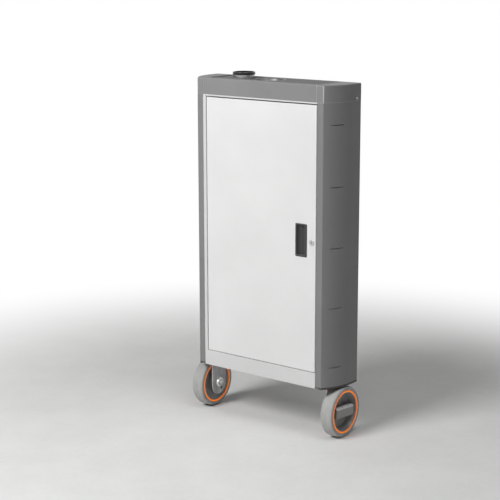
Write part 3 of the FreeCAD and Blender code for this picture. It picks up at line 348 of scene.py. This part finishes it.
finishes = {
    "carcass_paint": powderCoat("carcassPaint", (214, 214, 214), (232, 232, 232)),
    "door_paint": powderCoat("doorPaint", (228, 228, 228), (240, 240, 240)),
    "post_paint": powderCoat("postPaint", (132, 132, 133), (186, 186, 186), 0.4, 0.25),
    # painted highlights: the cap's edges are drawn much paler than its plastic
    "cap_plastic": mouldedPlastic("capPlastic", (140, 140, 141), 0.6, edge=1.6, specular=0.08),
    "foot_plastic": mouldedPlastic("footPlastic", (70, 70, 71), 0.5),
    # painted highlights: the handle's edges are drawn much paler than its plastic
    "handle_plastic": mouldedPlastic("handlePlastic", (64, 64, 65), 0.42, edge=2.2),
    "zinc_steel": platedSteel("zincSteel", (192, 192, 193), 0.46),
    "chrome": platedSteel("chromePlate", (204, 204, 205), 0.34, 0.02),
    "black_rubber": rubber("blackRubber", (22, 22, 23), 0.58),
    "tyre_rubber": tyreRubber("tyreRubber"),
    "rim_plastic": mouldedPlastic("rimPlastic", (136, 136, 137), 0.38, specular=0.5),
    "accent_orange": signalOrange("accentOrange"),
    # painted highlights: the rocker's edges are drawn much paler than its plastic
    "rocker_plastic": mouldedPlastic("rockerPlastic", (142, 142, 142), 0.3, edge=1.7, specular=0.5),
    "bearing_steel": platedSteel("bearingSteel", (196, 197, 198), 0.24, 0.03),
}
ownFinish = {
    # painted shade: the tray is a darker, duller copy of the cap plastic, with its edges drawn pale as
    # painted highlights
    "cap_tray": mouldedPlastic("trayPlasticPaintedShade", (116, 116, 117), 0.7, edge=1.5, specular=0.06),
    # painted reflection: the cup's steel is drawn darker, as if reflecting dark surroundings
    "can_cup": turnedSteel("cupSteelDarkReflection", cupMiddle, (168, 168, 167), 0.2),
    "can_rim": rubber("edgingRubber", (18, 18, 19), 0.26),
    # painted reflection: the dish's steel is drawn dark, as if reflecting dark surroundings
    "parts_dish": turnedSteel("dishSteelDarkReflection", dishMiddle, (104, 104, 104), 0.42),
    "axle_bolts": platedSteel("boltSteel", (244, 244, 243), 0.28, 0.01),
    # painted shade: the locating screws are drawn near black, for the shade of the holes they sit in
    "locating_screws": platedSteel("screwHoleShadeSteel", (44, 44, 45), 0.3, 0.02),
    "lock_plug": platedSteel("plugSteel", (204, 204, 205), 0.4, 0.03),
}
print("finishes made:", len(finishes) + len(ownFinish))

# flat, sharp and smooth are angles in degrees
meshLook = {"weld": 0.002 * mm, "flat": 0.3}
softLook = {"width": 0.35 * mm, "segments": 2, "sharp": 35, "smooth": 40}


def merged(node):
    # a copy of a CAD node's mesh with its triangles joined into whole faces
    mesh = bmesh.new()
    mesh.from_mesh(nodes[node].data)
    bmesh.ops.remove_doubles(mesh, verts=mesh.verts, dist=meshLook["weld"])
    bmesh.ops.dissolve_limit(mesh, angle_limit=math.radians(meshLook["flat"]), verts=mesh.verts,
                             edges=mesh.edges)
    return mesh


def softenEdges(mesh, width=softLook["width"], segments=softLook["segments"], sharp=softLook["sharp"],
                among=None):
    # rounds the sharp edges and marks the new faces, so that the finishes find them
    mark = mesh.faces.layers.float.get("edge") or mesh.faces.layers.float.new("edge")
    chosen = [edge for edge in among or mesh.edges if edge.is_manifold
              and edge.calc_face_angle(0) > math.radians(sharp)]
    made = bmesh.ops.bevel(mesh, geom=chosen, offset=width, offset_type="OFFSET", affect="EDGES",
                           segments=segments, profile=0.5, material=-1, clamp_overlap=True)
    for face in made["faces"]:
        face[mark] = 1.0


def roundEdges(mesh, edges, size, segments):
    # a larger rounding that is part of the shape, so it isn't marked
    bmesh.ops.bevel(mesh, geom=edges, offset=size, offset_type="OFFSET", affect="EDGES", segments=segments,
                    profile=0.5, material=-1)


def markFaces(mesh, name, wanted):
    # notes faces for the finishes to read
    mark = mesh.faces.layers.float.get(name) or mesh.faces.layers.float.new(name)
    for face in mesh.faces:
        if wanted(face):
            face[mark] = 1.0


shaped = set()


def finished(mesh, node, smooth=softLook["smooth"]):
    # turns a mesh into the piece that stands for a node
    for face in mesh.faces:
        face.smooth = True
    for edge in mesh.edges:
        edge.smooth = not (edge.is_manifold and edge.calc_face_angle(0) > math.radians(smooth))
    name = node + "_dressed"
    data = bpy.data.meshes.new(name)
    mesh.to_mesh(data)
    mesh.free()
    data.materials.append(ownFinish.get(node) or finishes[slotOf[node]])
    piece = bpy.data.objects.new(name, data)
    bpy.context.scene.collection.objects.link(piece)
    flatten = piece.modifiers.new("even normals", "WEIGHTED_NORMAL")
    flatten.keep_sharp = True
    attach(piece, bodyOf[node])
    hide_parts(node)
    shaped.add(node)


def finishedSide(mesh, node, side, smooth=softLook["smooth"]):
    # pieces are shaped right-handed, and the left one is mirrored
    if side == "left":
        bmesh.ops.scale(mesh, vec=(-1, 1, 1), verts=mesh.verts)
        bmesh.ops.reverse_faces(mesh, faces=mesh.faces)
    finished(mesh, node + "_" + side, smooth)


def grow(mesh, start, target):
    # draws the next stretch of an outline
    made = bmesh.ops.extrude_vert_indiv(mesh, verts=[start])["verts"][0]
    made.co = target
    return made


spinLook = {"weld": 0.005 * mm, "wheelSteps": 144, "uprightSteps": 96, "smooth": 50}


def turned(points, centre, axis, outward, along, steps):
    # spins a closed line of (radius, height) points about an axis
    mesh = bmesh.new()
    line = [mesh.verts.new(Vector(centre) + Vector(outward) * radius + Vector(along) * height)
            for radius, height in points]
    edges = [mesh.edges.new(pair) for pair in zip(line, line[1:] + line[:1])]
    bmesh.ops.spin(mesh, geom=line + edges, cent=centre, axis=axis, angle=2 * math.pi, steps=steps,
                   use_merge=True)
    bmesh.ops.remove_doubles(mesh, verts=mesh.verts, dist=spinLook["weld"])
    loose = [edge for edge in mesh.edges if not edge.link_faces]
    bmesh.ops.delete(mesh, geom=loose, context="EDGES")
    bmesh.ops.recalc_face_normals(mesh, faces=mesh.faces)
    return mesh


def wheelTurned(points, steps=spinLook["wheelSteps"]):
    # points are (radius, inset): the inset runs inwards from the wheel's outer face
    return turned(points, (wheelFace, axle.y, axle.z), (1, 0, 0), (0, 0, 1), (-1, 0, 0), steps)


def uprightTurned(points, middle):
    # points are (radius, height above the floor)
    centre = (middle.x, middle.y, 0)
    return turned(points, centre, (0, 0, 1), (1, 0, 0), (0, 0, 1), spinLook["uprightSteps"])


def rearSide(points):
    # the same outline on the wheel's other face
    return [(radius, wheelWidth - inset) for radius, inset in points]


def arc(middle, size, start, end, steps):
    # points on an ellipse, from one angle to another in degrees
    turns = [math.radians(start + (end - start) * i / steps) for i in range(steps + 1)]
    return [(middle[0] + size[0] * math.cos(turn), middle[1] + size[1] * math.sin(turn)) for turn in turns]


widerEdges = {"door_panel": 1.1 * mm, "top_panel": 0.8 * mm, "cap_tray": 0.6 * mm, "cap_front": 0.6 * mm,
              "cap_corner_left": 0.6 * mm, "cap_corner_right": 0.6 * mm, "handle_cup": 1.0 * mm,
              "caster_bracket_left": 0.6 * mm, "caster_bracket_right": 0.6 * mm, "post_feet": 0.5 * mm}
dustAndGapShadeLook = {"deep": 2.2 * mm, "slope": 0.15}  # painted shadow, also standing for dust: on what faces upwards at the very top of the door
# the faces marked pale, as limits on their normals: the brackets' torn edges, and the cap corners' bends as
# a painted highlight
tornEdgeAndHighlightLook = {"bracketSide": 0.5, "bendFrom": -0.99, "bendTo": -0.66, "upright": 0.3}


def onBend(face):
    # painted highlight: the bend between a cap corner's front and its curve is drawn pale, as where light
    # glances off it
    return (tornEdgeAndHighlightLook["bendFrom"] < face.normal.y < tornEdgeAndHighlightLook["bendTo"]
            and abs(face.normal.z) < tornEdgeAndHighlightLook["upright"])


def dress(node):
    mesh = merged(node)
    if node.startswith("caster_bracket"):
        markFaces(mesh, "edge", lambda face: abs(face.normal.x) < tornEdgeAndHighlightLook["bracketSide"])
    if node.startswith("cap_corner"):
        markFaces(mesh, "edge", onBend)
    softenEdges(mesh, widerEdges.get(node, softLook["width"]))
    if node == "door_panel":
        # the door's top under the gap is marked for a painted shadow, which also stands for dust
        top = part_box(node)[1].z - dustAndGapShadeLook["deep"]
        mesh.normal_update()
        markFaces(mesh, "dust", lambda face: face.normal.z > dustAndGapShadeLook["slope"]
                  and face.calc_center_median().z > top)
    finished(mesh, node)


# slotTall is under the solid's 2.6 mm, so that the slots show as fine lines
postLook = {"rise": 35.7 * mm, "run": 98 * mm, "return": 20 * mm, "flange": 30 * mm, "sheet": 2 * mm,
            "bend": 3 * mm, "fold": 1 * mm, "bendSegments": 6, "chamferWide": 13 * mm,
            "chamferHigh": 9 * mm, "foot": 6 * mm, "slots": 5, "slotLow": 57 * mm, "slotHigh": 61.8 * mm,
            "slotLong": 42 * mm, "slotTall": 1.8 * mm, "slotRun": 37 * mm, "slotMargin": 0.1,
            "arcSteps": 24, "endSegments": 4, "endShare": 0.96, "foldSlack": 0.1 * mm,
            "sheetSlack": 0.3 * mm, "turnSlack": 0.002, "cornerTurn": 1}
# the wide curve runs on smoothly into the flat side
curveRadius = (postLook["run"] ** 2 + postLook["rise"] ** 2) / (2 * postLook["rise"])


def makePost(side):
    # one folded sheet: front return, strip, wide curve, flat side and rear flange, with slots in the curve
    look = postLook
    low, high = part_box("corner_post_right")
    front = low.y
    centre = Vector((high.x - curveRadius, front + look["run"], low.z))
    bendAt = Vector((high.x - look["rise"], front, low.z))
    sweep = math.atan2(look["run"], bendAt.x - centre.x)
    mesh = bmesh.new()
    start = mesh.verts.new((low.x, front + look["return"], low.z))
    bend = grow(mesh, grow(mesh, start, (low.x, front, low.z)), bendAt)
    curve = bmesh.ops.spin(mesh, geom=[bend], cent=centre, axis=(0, 0, 1), angle=sweep,
                           steps=look["arcSteps"], use_merge=False)
    last = [item for item in curve["geom_last"] if isinstance(item, bmesh.types.BMVert)][0]
    grow(mesh, grow(mesh, last, (high.x, high.y, low.z)), (high.x - look["flange"], high.y, low.z))
    wall = bmesh.ops.extrude_edge_only(mesh, edges=mesh.edges[:])
    top = [item for item in wall["geom"] if isinstance(item, bmesh.types.BMVert)]
    bmesh.ops.translate(mesh, verts=top, vec=(0, 0, high.z - low.z))
    bmesh.ops.recalc_face_normals(mesh, faces=mesh.faces)

    def uprightAt(edge, x, y):
        middle = (edge.verts[0].co + edge.verts[1].co) / 2
        slack = look["foldSlack"]
        return edge.is_manifold and abs(middle.x - x) < slack and abs(middle.y - y) < slack

    bendSize = look["bend"] * math.tan((math.pi / 2 - sweep) / 2)
    for x, y, size in ((low.x, front, look["fold"]), (high.x, high.y, look["fold"]),
                       (bendAt.x, bendAt.y, bendSize)):
        fold = [edge for edge in mesh.edges if uprightAt(edge, x, y)]
        roundEdges(mesh, fold, size, look["bendSegments"])
    cutSlots(mesh, centre, low.z, high.z)
    corner = Vector((low.x, front, low.z - look["foot"] + look["chamferHigh"]))
    away = Vector((-look["chamferHigh"], 0, -look["chamferWide"]))
    bmesh.ops.bisect_plane(mesh, geom=mesh.verts[:] + mesh.edges[:] + mesh.faces[:], dist=onCut,
                           plane_co=corner, plane_no=away, clear_outer=True)
    flatSide = max(mesh.faces, key=lambda face: face.calc_center_median().x)
    if flatSide.normal.x < 0:
        bmesh.ops.reverse_faces(mesh, faces=mesh.faces)
    bmesh.ops.solidify(mesh, geom=mesh.faces[:], thickness=look["sheet"])
    roundSlotEnds(mesh, centre, low.z, high.z)
    softenEdges(mesh)
    for vert in mesh.verts:
        vert.co.x = min(vert.co.x, high.x)  # the rounding stays within the sheet
    finishedSide(mesh, "corner_post", side)


def slotPlaces(low, high):
    # the slots' levels, and the angles at which they begin and end
    look = postLook
    middle = -math.asin((look["run"] - look["slotRun"]) / curveRadius)
    half = look["slotLong"] / 2 / curveRadius
    first, last = low + look["slotLow"], high - look["slotHigh"]
    levels = [first + (last - first) * i / (look["slots"] - 1) for i in range(look["slots"])]
    return levels, middle - half, middle + half


def turnOf(point, centre):
    return math.atan2(point.y - centre.y, point.x - centre.x)


def cutSlots(mesh, centre, low, high):
    look = postLook
    levels, begin, end = slotPlaces(low, high)
    half = look["slotTall"] / 2

    def within(face, margin=0.0):
        middle = face.calc_center_median()
        near = (middle - centre).to_2d().length > curveRadius - look["sheet"]
        return near and begin - margin < turnOf(middle, centre) < end + margin

    def cut(faces, point, normal):
        edges = {edge for face in faces for edge in face.edges}
        verts = {vert for face in faces for vert in face.verts}
        bmesh.ops.bisect_plane(mesh, geom=list(verts) + list(edges) + faces, dist=onCut, plane_co=point,
                               plane_no=normal)

    for turn in (begin, end):
        near = [face for face in mesh.faces if within(face, look["slotMargin"])]
        cut(near, centre, (-math.sin(turn), math.cos(turn), 0))
    for level in levels:
        for height in (level - half, level + half):
            cut([face for face in mesh.faces if within(face)], (0, 0, height), (0, 0, 1))
    gone = [face for face in mesh.faces if within(face)
            and any(abs(face.calc_center_median().z - level) < half for level in levels)]
    bmesh.ops.delete(mesh, geom=gone, context="FACES")


def roundSlotEnds(mesh, centre, low, high):
    # finds the short edges through the sheet at each slot's four corners
    look = postLook
    levels, begin, end = slotPlaces(low, high)
    half = look["slotTall"] / 2
    corners = []
    for edge in mesh.edges:
        middle = (edge.verts[0].co + edge.verts[1].co) / 2
        turn = turnOf(middle, centre)
        across = abs(edge.verts[0].co.z - edge.verts[1].co.z) < close
        through = abs(edge.calc_length() - look["sheet"]) < look["sheetSlack"]
        atEnd = min(abs(turn - begin), abs(turn - end)) < look["turnSlack"]
        atLevel = min(abs(abs(middle.z - level) - half) for level in levels) < close
        sharp = edge.is_manifold and edge.calc_face_angle(0) > look["cornerTurn"]
        if across and through and atEnd and atLevel and sharp:
            corners.append(edge)
    roundEdges(mesh, corners, half * look["endShare"], look["endSegments"])
    print("slot corners rounded:", len(corners))


tyreShape = {"seat": 60 * mm, "ring": 62.4 * mm, "ringDeep": 4 * mm, "groove": 0.9 * mm,
             "grooveWide": 0.7 * mm, "grooveFlare": 1.6, "sideEdge": 67 * mm, "shoulder": 7 * mm,
             "shoulderWide": 5.6 * mm, "crown": 1 * mm, "shoulderSteps": 8, "crownSteps": 5,
             "seam": 0.3 * mm, "seamWide": 0.8 * mm}


def makeTyre(side):
    # seat, groove beside the accent ring, rounded shoulder and a slightly crowned tread with a mould seam
    look = tyreShape
    ring, wide, groove, deep = look["ring"], look["grooveWide"], look["groove"], look["ringDeep"]
    half = [(look["seat"], deep), (ring, deep), (ring, groove), (ring + wide, groove),
            (ring + wide * look["grooveFlare"], 0)]
    half += arc((look["sideEdge"], look["shoulderWide"]), (look["shoulder"], look["shoulderWide"]), -90, 0,
                look["shoulderSteps"])
    run = wheelWidth / 2 - look["shoulderWide"]
    for i in range(1, look["crownSteps"]):
        share = i / look["crownSteps"]
        half.append((wheelRadius - look["crown"] * (1 - share) ** 2, look["shoulderWide"] + run * share))
    half.append((wheelRadius, wheelWidth / 2 - look["seamWide"]))
    seam = (wheelRadius - look["seam"], wheelWidth / 2)
    mesh = wheelTurned(half + [seam] + rearSide(half)[::-1])
    finishedSide(mesh, "tyre", side, smooth=spinLook["smooth"])


ringShape = {"outer": 62.4 * mm, "inner": 58.4 * mm, "deep": 4 * mm, "crown": 0.9 * mm, "steps": 8}


def makeRings(side):
    # one ring in each face of the wheel
    look = ringShape
    middle, half = (look["outer"] + look["inner"]) / 2, (look["outer"] - look["inner"]) / 2
    outside = [(look["inner"], look["deep"]), (look["outer"], look["deep"])]
    outside += arc((middle, look["crown"]), (half, look["crown"]), 0, -180, look["steps"])
    mesh = wheelTurned(outside)
    joinInto(mesh, wheelTurned(rearSide(outside)))
    finishedSide(mesh, "accent_rings", side, smooth=spinLook["smooth"])


def joinInto(mesh, other):
    data = bpy.data.meshes.new("joined")
    other.to_mesh(data)
    other.free()
    mesh.from_mesh(data)
    bpy.data.meshes.remove(data)


rimShape = {"seat": 60 * mm, "ring": 58.4 * mm, "ringDeep": 4 * mm, "face": 1.5 * mm, "mouth": 56.5 * mm,
            "web": 47.5 * mm, "webInset": 24 * mm, "webThick": 5 * mm, "boss": 22 * mm,
            "bossInset": 20 * mm, "bossRear": 38 * mm, "bore": 16 * mm, "lip": 0.8 * mm, "steps": 128,
            "round": 1.6 * mm, "roundSegments": 4, "roundSharp": 20, "edge": 0.25 * mm, "edgeSharp": 30}


def edgesAtRadius(mesh, radius):
    # the rings of edges that lie at one radius about the axle
    def near(vert):
        return abs(math.hypot(vert.co.y - axle.y, vert.co.z - axle.z) - radius) < close

    return [edge for edge in mesh.edges if near(edge.verts[0]) and near(edge.verts[1])
            and abs(edge.verts[0].co.x - edge.verts[1].co.x) < close]


def makeRim(side):
    # a dished wheel body: bead, sloping wall, web and boss
    look = rimShape
    web, boss, bore, lip = look["web"], look["boss"], look["bore"], look["lip"]
    rear = look["webInset"] + look["webThick"]
    bead = [(look["seat"], look["ringDeep"]), (look["ring"], look["ringDeep"]), (look["ring"], look["face"]),
            (look["mouth"] + lip, look["face"]), (look["mouth"], look["face"] + lip)]
    centre = [(web, look["webInset"]), (boss, look["webInset"]), (boss, look["bossInset"]),
              (bore, look["bossInset"]), (bore, look["bossRear"]), (boss, look["bossRear"]), (boss, rear),
              (web, rear)]
    mesh = wheelTurned(bead + centre + rearSide(bead)[::-1], look["steps"])
    corners = edgesAtRadius(mesh, web) + edgesAtRadius(mesh, boss)
    softenEdges(mesh, look["round"], look["roundSegments"], look["roundSharp"], corners)
    softenEdges(mesh, look["edge"], sharp=look["edgeSharp"])
    finishedSide(mesh, "rim", side, smooth=spinLook["smooth"])


rockerLook = {"long": 88 * mm, "tall": 35 * mm, "deep": 15.5 * mm, "rake": 4 * mm, "wall": 2.5 * mm,
              "longRound": 9 * mm, "longSegments": 8, "endRound": 5 * mm, "endSegments": 5, "step": 4 * mm,
              "edge": 0.4 * mm, "tilt": -4.5, "rib": 4 * mm, "ribGap": 13 * mm, "ribInset": 1 * mm,
              "wornAndLitFrom": 0.2, "wornAndLitTo": 0.97, "facing": 0.9, "edgeSharp": 40, "slack": 0.01 * mm}


def block(mesh, low, high):
    made = bmesh.ops.create_cube(mesh, size=1.0)["verts"]
    bmesh.ops.scale(mesh, vec=Vector(high) - Vector(low), verts=made)
    bmesh.ops.translate(mesh, vec=(Vector(low) + Vector(high)) / 2, verts=made)


def makeRocker(side):
    # a moulded bar with raked ends and a rounded front, hollow behind, on two ribs
    look = rockerLook
    mesh = bmesh.new()
    wall = look["wall"]
    low = Vector((wheelFace - look["deep"], axle.y - look["long"] / 2, axle.z - look["tall"] / 2))
    high = Vector((wheelFace, axle.y + look["long"] / 2, axle.z + look["tall"] / 2))
    block(mesh, low, high)
    for vert in mesh.verts:
        if vert.co.x < wheelFace - look["deep"] / 2:
            vert.co.y -= math.copysign(look["rake"], vert.co.y - axle.y)
    mesh.normal_update()
    front = [edge for edge in mesh.edges
             if all(abs(vert.co.x - wheelFace) < look["slack"] for vert in edge.verts)
             and abs(edge.verts[0].co.y - edge.verts[1].co.y) > look["long"] / 2]
    roundEdges(mesh, front, look["longRound"], look["longSegments"])
    ends = {edge for face in mesh.faces if abs(face.normal.y) > look["facing"] for edge in face.edges
            if any(vert.co.x > low.x + look["slack"] for vert in edge.verts)}
    roundEdges(mesh, list(ends), look["endRound"], look["endSegments"])
    mesh.normal_update()
    # painted highlight on the upward-facing rounds, which also stands for wear where it is trodden
    markFaces(mesh, "edge", lambda face: look["wornAndLitFrom"] < face.normal.z < look["wornAndLitTo"])
    backs = [face for face in mesh.faces if face.normal.x < -look["facing"]]
    floor = max(backs, key=lambda face: face.calc_area())
    # the cavity narrows near the face, to leave a full wall behind the rounded edges
    for inwards, depth in ((wall, look["deep"] - 2 * wall), (look["step"], wall)):
        bmesh.ops.inset_region(mesh, faces=[floor], thickness=inwards, use_even_offset=True)
        floor = bmesh.ops.extrude_discrete_faces(mesh, faces=[floor])["faces"][0]
        bmesh.ops.translate(mesh, verts=floor.verts[:], vec=(depth, 0, 0))
    softenEdges(mesh, look["edge"], sharp=look["edgeSharp"])
    for sign in (-1, 1):
        near, far = sorted((sign * look["ribGap"], sign * (look["ribGap"] + look["rib"])))
        block(mesh, (low.x + look["ribInset"], axle.y + near, low.z + wall / 2),
              (wheelFace - wall, axle.y + far, high.z - wall / 2))
    bmesh.ops.rotate(mesh, cent=axle, matrix=Matrix.Rotation(math.radians(look["tilt"]), 3, "X"),
                     verts=mesh.verts)
    finishedSide(mesh, "brake_rocker", side)


cupLook = {"wall": 1.2 * mm, "corner": 3 * mm, "steps": 6}


def makeCup():
    # the cup's wall runs up inside the black edging
    look = cupLook
    radius = (cupHigh.x - cupLow.x) / 2
    corner, wall, top = look["corner"], look["wall"], cupHigh.z
    inner = corner - wall
    cornerAt = (radius - corner, cupLow.z + corner)
    points = [(0, cupLow.z)] + arc(cornerAt, (corner, corner), -90, 0, look["steps"])
    points += [(radius, top - wall / 2), (radius - wall / 2, top), (radius - wall, top - wall / 2)]
    points += arc(cornerAt, (inner, inner), 0, -90, look["steps"]) + [(0, cupLow.z + wall)]
    finished(uprightTurned(points, cupMiddle), "can_cup", smooth=spinLook["smooth"])


edgingLook = {"inner": 29.2 * mm, "shoulder": 2.4 * mm, "lip": 1 * mm, "steps": 6}


def makeEdging():
    # a black edging over the cup's mouth, with a rounded shoulder and a skirt down the outside
    look = edgingLook
    low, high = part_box("can_rim")
    outer, shoulder, lip = (high.x - low.x) / 2, look["shoulder"], look["lip"]
    seat = (cupHigh.x - cupLow.x) / 2
    points = [(seat, low.z), (outer, low.z)]
    points += arc((outer - shoulder, high.z - shoulder), (shoulder, shoulder), 0, 90, look["steps"])
    points += arc((look["inner"] + lip, high.z - lip), (lip, lip), 90, 180, look["steps"])
    points += [(look["inner"], cupHigh.z), (seat, cupHigh.z)]
    finished(uprightTurned(points, cupMiddle), "can_rim", smooth=spinLook["smooth"])


dishLook = {"flange": 6 * mm, "deep": 13 * mm, "floor": 24 * mm, "sheet": 1.2 * mm, "steps": 12,
            "bead": 0.6 * mm}


def makeDish():
    # a pressed bowl with a flat flange and a rolled edge
    look = dishLook
    radius = (dishHigh.x - dishLow.x) / 2
    top, sheet, bead, deep, floor = dishHigh.z, look["sheet"], look["bead"], look["deep"], look["floor"]
    bowl = radius - look["flange"]
    points = [(0, top - deep)]
    points += arc((floor, top), (bowl - floor, deep), -90, 0, look["steps"])[:-1]
    points += [(bowl, top - bead / 2), (bowl + bead, top), (radius - bead, top), (radius, top - sheet / 2),
               (radius - bead, top - sheet), (bowl, top - sheet)]
    points += arc((floor, top - sheet), (bowl - floor - sheet, deep), 0, -90, look["steps"])[1:]
    points.append((0, top - sheet - deep))
    finished(uprightTurned(points, dishMiddle), "parts_dish", smooth=spinLook["smooth"])


print("makers ready")

for side in ("right", "left"):
    makePost(side)
    makeTyre(side)
    makeRings(side)
    makeRim(side)
    makeRocker(side)
makeCup()
makeEdging()
makeDish()
print("pieces shaped:", len(shaped))
plain = sorted(set(nodes) - shaped)
for node in plain:
    dress(node)
print("pieces dressed:", len(plain))

stageLook = {"radius": 9.0, "sides": 96, "floor": (236, 236, 235), "spots": (230, 230, 229), "spot": 5.0,
             "speck": 60.0, "spotShare": 0.7, "speckShare": 0.3, "mottleStep": (0.35, 0.65),
             "fadeFrom": 0.7, "fadeTo": 1.9, "specular": 0.2, "roughness": 0.7}


def makeFloor():
    # a pale floor, which the camera sees fade into the white surround
    look = stageLook
    mesh = bmesh.new()
    bmesh.ops.create_circle(mesh, cap_ends=True, segments=look["sides"], radius=look["radius"])
    data = bpy.data.meshes.new("floor")
    mesh.to_mesh(data)
    mesh.free()
    floor = bpy.data.objects.new("floor", data)
    bpy.context.scene.collection.objects.link(floor)
    paint = Paint("floorPaint", Specular_IOR_Level=look["specular"], Roughness=look["roughness"])
    where = paint.place()
    x, y, z = paint.axes(where)
    spots = paint.noise(where, look["spot"], detail=5.0, roughness=0.6)
    specks = paint.noise(where, look["speck"], detail=3.0, roughness=0.6)
    mottle = (spots * look["spotShare"] + specks * look["speckShare"]).step(*look["mottleStep"])
    paint.feed("Base Color", paint.mix(mottle, look["spots"], look["floor"]))
    away = ((x * x + y * y) ** 0.5).step(look["fadeFrom"], look["fadeTo"])
    white = paint.node("ShaderNodeEmission", {}, {"Color": rgb((255, 255, 255)), "Strength": 1.0})
    seen = paint.node("ShaderNodeLightPath", output="Is Camera Ray")
    both = paint.node("ShaderNodeMixShader", {},
                      {0: away * seen, 1: Value(paint, paint.shader.outputs[0]), 2: white})
    paint.connect(paint.tree.nodes["Material Output"].inputs["Surface"], both)
    data.materials.append(paint.material)


worldStrength = 0.08


def makeWorld():
    # a white surround for the camera and for reflections, and a weak one for the surfaces
    world = bpy.data.worlds.new("world")
    bpy.context.scene.world = world
    world.use_nodes = True
    tree = world.node_tree
    path = tree.nodes.new("ShaderNodeLightPath")
    seen = path.outputs["Is Camera Ray"]
    for ray in ("Is Glossy Ray", "Is Transmission Ray"):
        either = tree.nodes.new("ShaderNodeMath")
        either.operation = "MAXIMUM"
        tree.links.new(seen, either.inputs[0])
        tree.links.new(path.outputs[ray], either.inputs[1])
        seen = either.outputs[0]
    level = tree.nodes.new("ShaderNodeMapRange")
    level.inputs["To Min"].default_value = worldStrength
    level.inputs["To Max"].default_value = 1.0
    tree.links.new(seen, level.inputs["Value"])
    background = tree.nodes["Background"]
    background.inputs["Color"].default_value = (1, 1, 1, 1)
    tree.links.new(level.outputs[0], background.inputs["Strength"])


lamps = {
    "key": {"place": (-0.6, -2.8, 2.7), "size": 1.6, "power": 98},
    "top": {"place": (1.8, -1.0, 5.0), "size": 2.4, "power": 58},
    "rear": {"place": (-0.6, 4.4, 2.6), "size": 3.0, "power": 12},
}
lampTarget = Vector((0, 0, 0.5))


def makeLamps():
    for name, look in lamps.items():
        light = bpy.data.lights.new(name, "AREA")
        light.shape = "DISK"
        light.size = look["size"]
        light.energy = look["power"]
        lamp = bpy.data.objects.new(name, light)
        lamp.location = look["place"]
        lamp.rotation_mode = "QUATERNION"
        lamp.rotation_quaternion = (lampTarget - lamp.location).to_track_quat("-Z", "Y")
        bpy.context.scene.collection.objects.link(lamp)


cameraLook = {"place": (2.3377, -3.1278, 1.3597), "heading": 37.80, "pitch": -12.147, "roll": -0.115,
              "lens": 98.21, "sensor": 36.0}


def makeCamera():
    data = bpy.data.cameras.new("camera")
    data.sensor_width = cameraLook["sensor"]
    data.lens = cameraLook["lens"]
    camera = bpy.data.objects.new("camera", data)
    camera.location = cameraLook["place"]
    heading = Matrix.Rotation(math.radians(cameraLook["heading"]), 4, "Z")
    pitch = Matrix.Rotation(math.radians(90 + cameraLook["pitch"]), 4, "X")
    roll = Matrix.Rotation(math.radians(cameraLook["roll"]), 4, "Z")
    camera.rotation_mode = "QUATERNION"
    camera.rotation_quaternion = (heading @ pitch @ roll).to_quaternion()
    bpy.context.scene.collection.objects.link(camera)
    bpy.context.scene.camera = camera


makeFloor()
makeWorld()
makeLamps()
makeCamera()
bpy.context.scene.view_settings.view_transform = "Standard"
print("stage ready")
